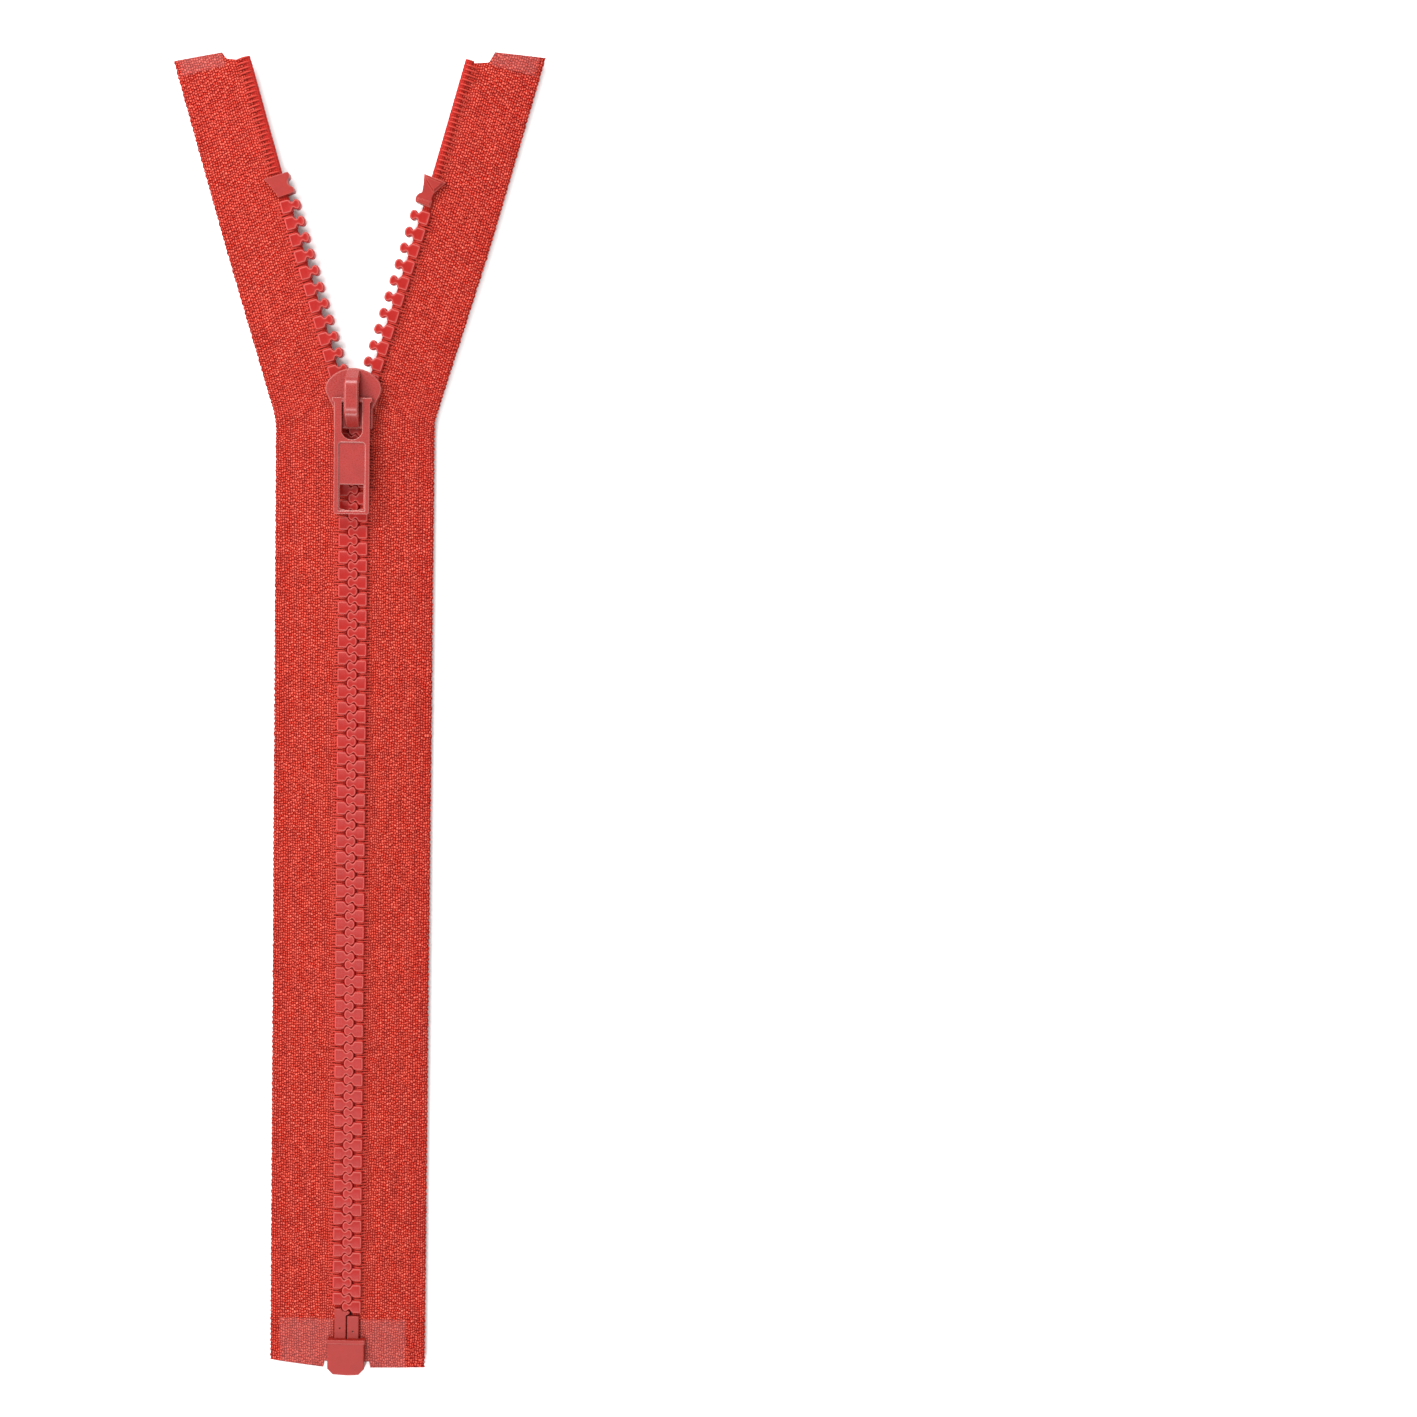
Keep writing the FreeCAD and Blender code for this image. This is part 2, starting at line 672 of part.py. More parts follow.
def slider_body():
    body = new_body("slider_body")
    plate = loop(from_rear(plate_outline()))
    ceiling = "Sizes.plate_thick + Sizes.inner_gap"
    flange_high = "(Sizes.inner_gap - Sizes.tape_gap) / 2"
    pad(body, "back_plate", plate, "0", "Sizes.plate_thick")
    dress(body, "Chamfer", "plate_edge", at_height(0.0))
    pad(body, "diamond", loop(from_rear(DIAMOND)), "Sizes.plate_thick", "Sizes.inner_gap")
    pad(body, "top_plate", plate, ceiling, "Sizes.plate_thick")
    dress(body, "Chamfer", "plate_edge", at_height(size["plate_thick"] * 2 + size["inner_gap"]))
    for side, name in SIDES:
        edges = loop(from_rear(flange_outline()), side)
        pad(body, name + "_back_flange", edges, "Sizes.plate_thick", flange_high)
        pad(body, name + "_top_flange", edges, ceiling + " - " + flange_high, flange_high)
    half = size["claw_hole_width"] / 2
    rear = size["slider_rear"]
    hole = box_loop(-half, half, rear + CLAW_HOLE[0], rear + CLAW_HOLE[1])
    top_level = ceiling + " + Sizes.plate_thick"
    cut(body, "claw_hole", hole, top_level, "Sizes.plate_thick")
    lug_loops(cut, body, top_level, "Sizes.lug_deep")


def slider_crown():
    """The bridge over the crossbar, from a side profile."""
    body = new_body("slider_crown")
    rear = size["slider_rear"]
    floor = size["plate_thick"] * 2 + size["inner_gap"]
    top = floor + size["crown_high"]
    ceiling = floor + size["crown_opening_high"]
    rear_foot, rear_bend, front_bend, front_foot = (0.2, floor), (3.1, top), (9.6, top), (12.15, floor)
    bend = size["crown_bend"]
    profile = [rear_foot] + rounded_corner(rear_foot, rear_bend, front_bend, bend)
    profile += rounded_corner(rear_bend, front_bend, front_foot, bend)
    profile += [front_foot, (10.2, floor), (9.1, ceiling), (3.2, ceiling), (1.65, floor)]
    placed = [tuple((rear + y, z) for y, z in step) if isinstance(step[0], tuple)
              else (rear + step[0], step[1]) for step in profile]
    side_pad(body, "bridge", loop(placed), "Sizes.crown_width")
    half = size["crown_width"] / 2

    def outer_edge(edge):
        """The long edges of the bridge's outside."""
        box = edge.BoundBox
        on_side = box.XLength < 1e-6 and abs(abs(box.XMin) - half) < 1e-6
        return on_side and box.ZMax > ceiling + 1e-3
    dress(body, "Chamfer", "crown_edge", outer_edge)
    level = "2 * Sizes.plate_thick + Sizes.inner_gap - Sizes.lug_deep"
    lug_loops(pad, body, level, "Sizes.lug_deep")


def lock_leaf():
    """A flat spring standing on a foot at the front, with the claw at its rear."""
    body = new_body("lock_leaf")
    rear = size["slider_rear"]
    low = size["leaf_low"]
    high = low + size["leaf_thick"]
    foot = size["plate_thick"] * 2 + size["inner_gap"] + 0.04
    tip = size["claw_tip"]
    profile = [(3.6, tip), (3.9, tip), (4.0, low), (8.6, low), (8.6, foot), (8.85, foot),
               (8.85, high), (3.6, high)]
    side_pad(body, "strip", loop([(rear + y, z) for y, z in profile]), "Sizes.leaf_width")


def pull_tab():
    """A flat tab hung on a round crossbar, with a slot for the crown and a window."""
    body = new_body("pull_tab")
    hinge = size["slider_rear"] + size["hinge_from_rear"]
    top = hinge + size["tab_above_hinge"]
    bottom = top - size["tab_length"]
    half, corner = size["tab_width"] / 2, 0.45
    bevel = corner * (1 - math.sqrt(0.5))
    wing_half, wing_low = size["wing_half"], top - 0.6
    slot_half, slot_end = size["slot_width"] / 2, hinge - size["slot_length"]
    slot_round = slot_end + slot_half * 0.75
    right = [(half - corner, bottom), ((half - bevel, bottom + bevel), (half, bottom + corner)),
             (half, wing_low - 0.5), (wing_half, wing_low), (wing_half, top), (slot_half, top),
             (slot_half, slot_round)]
    left = [(-slot_half, top), (-wing_half, top), (-wing_half, wing_low), (-half, wing_low - 0.5),
            (-half, bottom + corner), ((-half + bevel, bottom + bevel), (-half + corner, bottom))]
    outline = loop(right + [((0.0, slot_end), (-slot_half, slot_round))] + left)
    window_half, window_low, window_high = size["window_width"] / 2, bottom + 0.75, bottom + 6.1
    window = loop([(window_half, window_low + 0.4), (window_half, window_high),
                   (-window_half, window_high), (-window_half, window_low + 0.4),
                   ((0.0, window_low), (window_half, window_low + 0.4))])
    low = "Sizes.hinge_high - Sizes.tab_thick / 2"
    high = "Sizes.hinge_high + Sizes.tab_thick / 2"
    pad(body, "plate", outline + window, low, "Sizes.tab_thick")
    panel_half, panel_low, panel_high = size["panel_half"], bottom + 0.6, slot_end - 0.5
    corners = [(-panel_half, panel_low), (panel_half, panel_low), (panel_half, panel_high),
               (-panel_half, panel_high)]
    steps = corners[:2] + rounded_corner(*corners[1:4], size["panel_corner"])
    steps += rounded_corner(corners[2], corners[3], corners[0], size["panel_corner"])
    panel = loop(steps)
    cut(body, "front_panel", panel, high, "Sizes.tab_panel_deep")
    cut(body, "back_panel", panel, low + " + Sizes.tab_panel_deep", "Sizes.tab_panel_deep")
    bar = circle(hinge, size["hinge_high"], size["crossbar_dia"] / 2)
    side_pad(body, "crossbar", bar, "Sizes.slot_width + 0.6")


# ---------------------------------------------------------------- the separating end

def retainer_box():
    """The box that the pins stand in: a cavity open at the top, and a slit for each tape."""
    body = new_body("retainer_box")
    half, top = size["box_half"], size["box_top"]
    rim_low = top - 0.75
    outline = [(0.0, 0.0), ((1.4, 0.04), (2.75, 0.16)), (half, 1.4), (half, top), (0.0, top)]
    back = "Sizes.mid_plane - Sizes.box_thick / 2"
    pad(body, "shell", loop(both_sides(outline)[:-1]), back, "Sizes.box_thick")
    dress(body, "Chamfer", "plate_edge",
          at_height(size["mid_plane"] - size["box_thick"] / 2, size["mid_plane"] + size["box_thick"] / 2))
    rim_half = half + size["rim_step"]
    pad(body, "rim", box_loop(-rim_half, rim_half, rim_low, top),
        back + " - Sizes.rim_step", "Sizes.box_thick + 2 * Sizes.rim_step")
    beyond = top + 1.0
    cavity = box_loop(-size["cavity_half"], size["cavity_half"], size["pin_foot"] - 0.1, beyond)
    cut(body, "cavity", cavity, "Sizes.mid_plane + Sizes.cavity_thick / 2", "Sizes.cavity_thick")
    slit_left = box_loop(-rim_half - 1.0, -size["cavity_half"] + 0.1, BOX_NOTCH_TOP - 0.2, beyond)
    slit_right = box_loop(size["cavity_half"] - 0.1, rim_half + 1.0, BOX_NOTCH_TOP, beyond)
    cut(body, "left_slit", slit_left, "Sizes.mid_plane + 0.4", "0.8")
    cut(body, "right_slit", slit_right, "Sizes.mid_plane + Sizes.tape_thick / 2", "Sizes.tape_thick")


def pin(label, side, outline, sink_at):
    """A pin moulded over a tape's edge, with a small sink mark on its front."""
    body = new_body(label)
    back = "Sizes.mid_plane - Sizes.pin_thick / 2"
    front = "Sizes.mid_plane + Sizes.pin_thick / 2"
    pad(body, "form", loop(outline, side), back, "Sizes.pin_thick")
    half_thick = size["pin_thick"] / 2
    dress(body, "Chamfer", "tooth_edge",
          at_height(size["mid_plane"] - half_thick, size["mid_plane"] + half_thick))
    mid, half_tape = size["mid_plane"], size["tape_thick"] / 2
    inner = side * size["foot_tape_inner"]
    far = side * (size["pin_outer"] + 1.0)
    cut_along(body, "tape", box_loop(min(inner, far), max(inner, far), mid - half_tape, mid + half_tape))
    cut(body, "sink", circle(side * sink_at[0], sink_at[1], size["sink_dia"] / 2),
        front, "Sizes.sink_deep")


def insertion_pin():
    """Its top ends in a tooth-like nose that the first tooth opposite grips."""
    inner, outer = size["pin_inner"], size["pin_outer"]
    foot, top = size["pin_foot"], size["insertion_pin_top"]
    outline = [(inner + 0.3, foot), (outer - 0.3, foot), (outer, foot + 0.6), (outer, top),
               (1.25, top), (0.75, 13.7), (0.1, 13.6), (-0.35, 13.75), (-0.7, 13.35), (-0.5, 13.0),
               (inner, 12.7), (inner, foot + 0.6)]
    pin("insertion_pin", LEFT, outline, (1.4, 10.0))


def box_pin():
    inner, outer = size["pin_inner"], size["pin_outer"]
    foot, top = size["pin_foot"], size["box_pin_top"]
    outline = [(inner, foot), (outer, foot), (outer, top - 0.2), (outer - 0.2, top),
               (inner + 0.2, top), (inner, top - 0.2)]
    pin("box_pin", RIGHT, outline, (1.34, 9.3))


# ---------------------------------------------------------------- build and write

def build():
    tooth = make_tooth()
    doc.recompute()
    for side, name in SIDES:
        foot_tape(side, name)
        foot_film(side, name)
        chain_tape(side, name)
        arm_tape(side, name)
        end_film(side, name)
        chain_cord(side, name)
        arm_cord(side, name)
        teeth(tooth, side, name)
    left_stop()
    right_stop()
    slider_body()
    slider_crown()
    lock_leaf()
    pull_tab()
    retainer_box()
    insertion_pin()
    box_pin()
    doc.recompute()


def write():
    for item in doc.Objects:
        if "Invalid" in item.State or "Error" in item.State:
            raise RuntimeError("%s did not build: %s" % (item.Label, item.State))
    os.makedirs("parts", exist_ok=True)
    for label, item in finished.items():
        shape = item.Shape
        if shape.isNull() or not shape.isValid() or not shape.Solids:
            raise RuntimeError("%s has no valid solid" % label)
        shape.exportStep(os.path.join("parts", label + ".step"))


build()
write()
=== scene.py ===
"""The looks of an open-end zipper with moulded teeth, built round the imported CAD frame.

Lengths in this script are millimetres until a mesh is made. A point on a tape is given by t, its
station along the tape's own line, and w, its distance outward from that line. Up to the slider the
line is the chain's axis, and beyond it the line follows the arm that leans out.
"""

import math

import bpy
import numpy as np
from mathutils import Matrix, Vector


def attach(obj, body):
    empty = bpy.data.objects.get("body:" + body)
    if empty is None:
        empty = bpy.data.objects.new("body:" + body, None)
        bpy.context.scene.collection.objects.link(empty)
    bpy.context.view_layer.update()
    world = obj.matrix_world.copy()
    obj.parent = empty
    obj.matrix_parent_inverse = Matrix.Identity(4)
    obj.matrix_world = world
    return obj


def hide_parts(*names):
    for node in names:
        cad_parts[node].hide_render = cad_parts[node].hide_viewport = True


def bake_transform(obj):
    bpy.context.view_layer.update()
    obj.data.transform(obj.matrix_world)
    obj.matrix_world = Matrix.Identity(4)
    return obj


MM = 0.001
PI = math.pi

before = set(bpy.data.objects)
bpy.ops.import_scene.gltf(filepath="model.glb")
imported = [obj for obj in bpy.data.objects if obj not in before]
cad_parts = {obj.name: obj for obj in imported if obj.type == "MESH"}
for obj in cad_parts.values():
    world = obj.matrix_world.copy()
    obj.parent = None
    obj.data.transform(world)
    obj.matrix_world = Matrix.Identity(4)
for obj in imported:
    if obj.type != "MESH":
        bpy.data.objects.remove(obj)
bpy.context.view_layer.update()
rng = np.random.default_rng(5)

# ---------------------------------------------------------------- the zipper's own sizes

HALF_LENGTH = 138.7        # station of the frame's origin
MID = 2.45                 # height of the tapes' middle plane
BEND_AT = 202.2            # where the arms leave the chain's axis
BEND_RADIUS = 16.0
ARM_RUN = 35.0             # straight length of an arm before its tail curves back a little
TAIL_RADIUS = 200.0
TAPE_OUTER = 16.5
TAPE_INNER = 2.5
SEWING_INNER = 5.3         # outside this the cloth is thick, with the coarse weave
THIN_HALF, SEWING_MORE = 0.275, 0.045      # half thickness of the thin band, and how much the zone adds
SURFACE_RELIEF = 0.075     # height of the weave above and below the cloth's face
CORD_AT, CORD_RADIUS = 2.2, 0.65
PITCH, TOOTH_OUTER, TOOTH_HALF_THICK = 3.5, 2.93, 1.25
CHAIN_TEETH, ARM_TEETH = 54, 13
NOTCH_OUTER, NOTCH_FALL = 6.3, 1.1         # the notch at an arm's cut end
FOOT_CUT, BOX_NOTCH_TOP, BOX_NOTCH_OUTER = 1.2, 2.5, 5.1       # the foot's cut, notched for the box
FOOT_TOP = 12.0            # where the film at the foot ends
END_FILM = 2.8             # length of the film at an arm's end
FILM_INNER = 2.75
FIRST_ROW = 1.0            # the lowest row of a tape, before it is slid to the cut
END_ZONE = 4.0             # the rows of the last few millimetres slide to meet the cut
LOW_END, MID_END = 70.0, 185.0     # where the pieces along a tape meet
FOOT_BEND = (12.0, 60.0)           # stations over which the cloth would bend from foot to stringer; nothing here reads them
ARM_BEND = (198.0, 214.0)          # and from stringer to arm
EDGE_FROM, EDGE_TO, EDGE_STEP = 170.0, 300.0, 0.05     # the selvage's own line, as a table
EDGE_EASE = 4.0            # length over which the selvage turns beside the slider
FAN_REACH = 18             # the tape's rows fan out this far on both sides of the turn


def smooth(share):
    """0 to 1 with soft ends."""
    return share * share * (3 - 2 * share)


class Side:
    """One stringer's sizes and the line its tape follows. Angles are given in degrees."""

    def __init__(self, name, sign, lean, tail, arm, rise, notch, bare_cord, cord_start, foot_cut,
                 first_tooth, film_outer):
        self.name, self.sign, self.film_outer = name, sign, film_outer
        self.lean, self.tail = math.radians(lean), math.radians(tail)
        self.bend_end = BEND_RADIUS * self.lean
        self.top = BEND_AT + arm
        self.rise, self.notch, self.cut, self.first_tooth = rise, notch, foot_cut, first_tooth
        self.cord_start, self.cord_end = cord_start, self.top - bare_cord
        self.front_seed, self.back_seed, self.lie_seed = 11 + sign, 21 + sign, 40 + sign
        self.make_outer_edge()

    def line(self, t):
        """Place of the tape's line, outward and along the chain, and its heading at stations t."""
        d = np.asarray(t, float) - BEND_AT
        arc = np.clip(d / BEND_RADIUS, 0, self.lean)
        run = np.clip(d - self.bend_end, 0, ARM_RUN)
        back = np.clip((d - self.bend_end - ARM_RUN) / TAIL_RADIUS, 0, self.lean - self.tail)
        rest = np.maximum(d - self.bend_end - ARM_RUN - TAIL_RADIUS * (self.lean - self.tail), 0)
        out = BEND_RADIUS * (1 - np.cos(arc)) + run * math.sin(self.lean)
        out += TAIL_RADIUS * (np.cos(self.lean - back) - math.cos(self.lean))
        out += rest * math.sin(self.tail)
        along = BEND_AT + np.minimum(d, 0) + BEND_RADIUS * np.sin(arc) + run * math.cos(self.lean)
        along += TAIL_RADIUS * (math.sin(self.lean) - np.sin(self.lean - back))
        along += rest * math.cos(self.tail)
        return out, along, arc - back

    def offset(self, t, w):
        """Place at stations t and distance w outward from the tape's line."""
        out, along, heading = self.line(t)
        return out + w * np.cos(heading), along - w * np.sin(heading)

    def make_outer_edge(self):
        """The selvage as a line by its own length, eased where it turns beside the slider."""
        length = np.arange(EDGE_FROM, EDGE_TO, EDGE_STEP)
        heading = self.lean * smooth(np.clip((length - BEND_AT + EDGE_EASE / 2) / EDGE_EASE, 0, 1))
        self.edge_length = length
        self.edge_out = TAPE_OUTER + np.cumsum(np.sin(heading)) * EDGE_STEP
        self.edge_along = EDGE_FROM + np.cumsum(np.cos(heading)) * EDGE_STEP

    def spread(self, t, w):
        """Places of tape points. The rows fan out where the tape turns, so that its outer edge
        bunches evenly."""
        t, w = np.broadcast_arrays(np.asarray(t, float), np.asarray(w, float))
        inner_out, inner_along = self.offset(t, TAPE_INNER)
        far_out, far_along = self.offset(t, TAPE_OUTER)
        turn = BEND_AT + self.bend_end / 2
        start, stop = turn - FAN_REACH, turn + FAN_REACH
        length = t - self.bend_end * smooth(np.clip((t - start) / (stop - start), 0, 1))
        turning = (t > start) & (t < stop)
        far_out = np.where(turning, np.interp(length, self.edge_length, self.edge_out), far_out)
        far_along = np.where(turning, np.interp(length, self.edge_length, self.edge_along), far_along)
        v = (w - TAPE_INNER) / (TAPE_OUTER - TAPE_INNER)
        return inner_out + (far_out - inner_out) * v, inner_along + (far_along - inner_along) * v

    def points(self, out, along, z):
        """Points in the object's frame, still in millimetres, as an array of triples."""
        out, along, z = np.broadcast_arrays(out, along, z)
        return np.stack([self.sign * out, along - HALF_LENGTH, z], axis=-1).reshape(-1, 3)

    def tooth_stations(self):
        """Stations on the tape's line of all the teeth of one side, at one pitch along the cord."""
        chain = self.first_tooth + PITCH * np.arange(CHAIN_TEETH)
        cord_radius = BEND_RADIUS - CORD_AT
        cord_bend = cord_radius * self.lean
        along = chain[-1] + PITCH * np.arange(1, ARM_TEETH + 1) - BEND_AT
        in_bend = along * BEND_RADIUS / cord_radius
        arm = np.where(along < cord_bend, in_bend, along - cord_bend + self.bend_end)
        return np.concatenate([chain, BEND_AT + arm])


SIDES = (
    Side("left", -1, lean=16.8, tail=16.0, arm=79.5, rise=1.0, notch=1.45, bare_cord=2.0,
         cord_start=14.3, foot_cut=2.3, first_tooth=16.35, film_outer=14.6),
    Side("right", 1, lean=17.1, tail=15.7, arm=80.6, rise=2.0, notch=2.3, bare_cord=3.0,
         cord_start=12.7, foot_cut=1.2, first_tooth=14.6, film_outer=12.6),
)


# ---------------------------------------------------------------- materials

class Nodes:
    """Builds a material's node tree with short calls."""

    def __init__(self, name):
        self.material = bpy.data.materials.new(name)
        self.material.use_nodes = True
        self.tree = self.material.node_tree
        self.shader = self.tree.nodes["Principled BSDF"]

    def plug(self, socket, value):
        """Links a socket's value, or sets a plain one. None leaves the socket as it is."""
        if isinstance(value, bpy.types.NodeSocket):
            self.tree.links.new(value, socket)
        elif value is not None:
            socket.default_value = value

    def node(self, kind, **settings):
        made = self.tree.nodes.new(kind)
        for key, value in settings.items():
            setattr(made, key, value)
        return made

    def math(self, operation, a, b=None):
        made = self.node("ShaderNodeMath", operation=operation)
        self.plug(made.inputs[0], a)
        self.plug(made.inputs[1], b)
        return made.outputs[0]

    def between(self, value, low, high):
        """0 below low, 1 above high, smooth in between."""
        made = self.node("ShaderNodeMapRange", interpolation_type="SMOOTHSTEP")
        for socket, given in zip(made.inputs, (value, low, high, 0.0, 1.0)):
            self.plug(socket, given)
        return made.outputs[0]

    def wave(self, value, period):
        """Cosine of a length, with that period."""
        return self.math("COSINE", self.math("MULTIPLY", value, 2 * PI / period))

    def attribute(self, name):
        return self.node("ShaderNodeAttribute", attribute_name=name)

    def split(self, vector):
        made = self.node("ShaderNodeSeparateXYZ")
        self.plug(made.inputs[0], vector)
        return made.outputs

    def join(self, x, y, z):
        made = self.node("ShaderNodeCombineXYZ")
        for socket, value in zip(made.inputs, (x, y, z)):
            self.plug(socket, value)
        return made.outputs[0]

    def noise(self, vector, scale, detail, roughness):
        made = self.node("ShaderNodeTexNoise")
        for key, value in (("Vector", vector), ("Scale", scale), ("Detail", detail),
                           ("Roughness", roughness)):
            self.plug(made.inputs[key], value)
        return made.outputs[0]

    def cells(self, vector, feature):
        """The node of an uneven grid of cells, one unit apart."""
        made = self.node("ShaderNodeTexVoronoi", feature=feature, voronoi_dimensions="2D")
        for key, value in (("Vector", vector), ("Scale", 1.0), ("Randomness", 0.5)):
            self.plug(made.inputs[key], value)
        return made

    def mix(self, share, a, b, blend="MIX"):
        made = self.node("ShaderNodeMix", data_type="RGBA", blend_type=blend)
        for key, value in (("Factor_Float", share), ("A_Color", a), ("B_Color", b)):
            self.plug(next(s for s in made.inputs if s.identifier == key), value)
        return next(s for s in made.outputs if s.identifier == "Result_Color")

    def bump(self, height, distance, strength=1.0, normal=None):
        made = self.node("ShaderNodeBump")
        for key, value in (("Strength", strength), ("Distance", distance), ("Height", height),
                           ("Normal", normal)):
            self.plug(made.inputs[key], value)
        return made.outputs[0]

    def own_place(self):
        """The surface's own coordinates in millimetres."""
        made = self.node("ShaderNodeVectorMath", operation="SCALE")
        self.plug(made.inputs[0], self.node("ShaderNodeTexCoord").outputs["Object"])
        made.inputs["Scale"].default_value = 1 / MM
        return made.outputs[0]

    def finish(self, **sockets):
        """Sets the shader's sockets, named with underscores, and gives the material."""
        for name, value in sockets.items():
            self.plug(self.shader.inputs[name.replace("_", " ")], value)
        return self.material


SURFACE = 0.66     # the light is strong, so that the floor is white, and surfaces are darker by this
YARN_W, YARN_T = 0.50, 0.56     # the yarns' spacing across and along a tape


def linear(r, g, b):
    """The linear colour of a surface that looks like this sRGB colour of 0 to 255."""
    def one(c):
        c /= 255
        return SURFACE * (c / 12.92 if c <= 0.04045 else ((c + 0.055) / 1.055) ** 2.4)
    return (one(r), one(g), one(b), 1.0)


# The first of the cloth's three colours, bare and seen through the film, is painted shade in the
# crevices between the yarns, the second its own red, the third a painted highlight on the yarns' tops.
CLOTH = {
    "tape_cloth": (linear(119, 6, 4), linear(212, 56, 42), linear(255, 134, 114)),
    "film_over_cloth": (linear(118, 18, 14), linear(194, 64, 54), linear(228, 116, 102)),
}
GAP_BOUNCE_RED = (0.34, 0.004, 0.003, 1.0)      # painted red of light that comes through the plastic, on the sides of a tooth down in the gaps, where shade falls


def cloth_material(name, filmed=0.0):
    """Woven polyester tape. Its mesh gives w, t, the yarns' own coordinates, the weave's height
    and, on a film, how bare the cloth is."""
    n = Nodes(name)
    w, t, bare = n.split(n.attribute("tape").outputs["Vector"])
    across, along, _ = n.split(n.attribute("yarn").outputs["Vector"])
    relief = n.attribute("relief").outputs["Fac"]
    # Every place where a yarn comes up is a small cell with a dark line round it, painted shade in the
    # crevice between the yarns.
    place = n.join(n.math("DIVIDE", across, YARN_W), n.math("DIVIDE", along, YARN_T), 0.0)
    grain = n.between(n.cells(place, "DISTANCE_TO_EDGE").outputs["Distance"], 0.0, 0.30)
    raised = n.split(n.cells(place, "F1").outputs["Color"])[0]
    flat_place = n.join(w, t, 0.0)
    mottle = n.noise(flat_place, 0.35, 3.0, 0.6)
    speck = n.noise(flat_place, 3.0, 2.0, 0.7)
    # Higher weave is paler and its hollows darker, a painted highlight and painted shade; the share per
    # yarn and the specks add random tone.
    level = n.math("ADD", n.math("MULTIPLY", grain, 1.1), n.math("MULTIPLY", relief, 0.30))
    level = n.math("ADD", level, n.math("MULTIPLY", n.math("SUBTRACT", raised, 0.5), 0.34))
    level = n.math("ADD", level, n.math("MULTIPLY", n.math("SUBTRACT", speck, 0.5), 0.4))
    palette = CLOTH[name]
    if filmed:
        palette = [n.mix(bare, own, cloth) for own, cloth in zip(palette, CLOTH["tape_cloth"])]
    crevice_shade, middle, yarn_top_highlight = palette
    colour = n.mix(n.between(level, 0.05, 0.75), crevice_shade, middle)
    colour = n.mix(n.between(level, 0.75, 1.7), colour, yarn_top_highlight)
    tint = n.mix(n.between(mottle, 0.3, 0.7), (0.90, 0.90, 0.90, 1), (1.05, 1.05, 1.05, 1))
    colour = n.mix(1.0, colour, tint, "MULTIPLY")
    height = n.math("ADD", grain, n.math("MULTIPLY", speck, 0.5))
    normal = n.bump(height, 0.10 * MM * (1 - 0.6 * filmed), 0.9)
    rough = n.math("ADD", n.math("MULTIPLY", speck, 0.2), 0.72 - 0.25 * filmed)
    return n.finish(Base_Color=colour, Roughness=rough, Normal=normal, Sheen_Weight=0.04 * (1 - filmed),
                    Sheen_Roughness=0.45, Sheen_Tint=(1.0, 0.55, 0.5, 1.0),
                    Specular_IOR_Level=0.09 + 0.21 * filmed)


def thread_material():
    n = Nodes("ladder_thread")
    place = n.own_place()
    twist = n.noise(place, 5.0, 2.0, 0.6)
    colour = n.mix(twist, linear(186, 30, 22), linear(230, 88, 74))
    return n.finish(Base_Color=colour, Roughness=0.7, Sheen_Weight=0.04, Specular_IOR_Level=0.12,
                    Normal=n.bump(twist, 0.04 * MM))


def cord_material():
    n = Nodes("woven_cord")
    w, t, _ = n.split(n.attribute("tape").outputs["Vector"])
    braid = n.math("MULTIPLY", n.wave(n.math("ADD", t, w), 0.7), n.wave(n.math("SUBTRACT", t, w), 0.7))
    speck = n.noise(n.own_place(), 4.0, 3.0, 0.6)
    level = n.math("ADD", n.math("MULTIPLY", braid, 0.3), speck)
    colour = n.mix(n.between(level, 0.1, 0.9), linear(150, 14, 10), linear(206, 54, 44))
    return n.finish(Base_Color=colour, Roughness=0.85, Sheen_Weight=0.04, Specular_IOR_Level=0.10,
                    Normal=n.bump(level, 0.08 * MM))


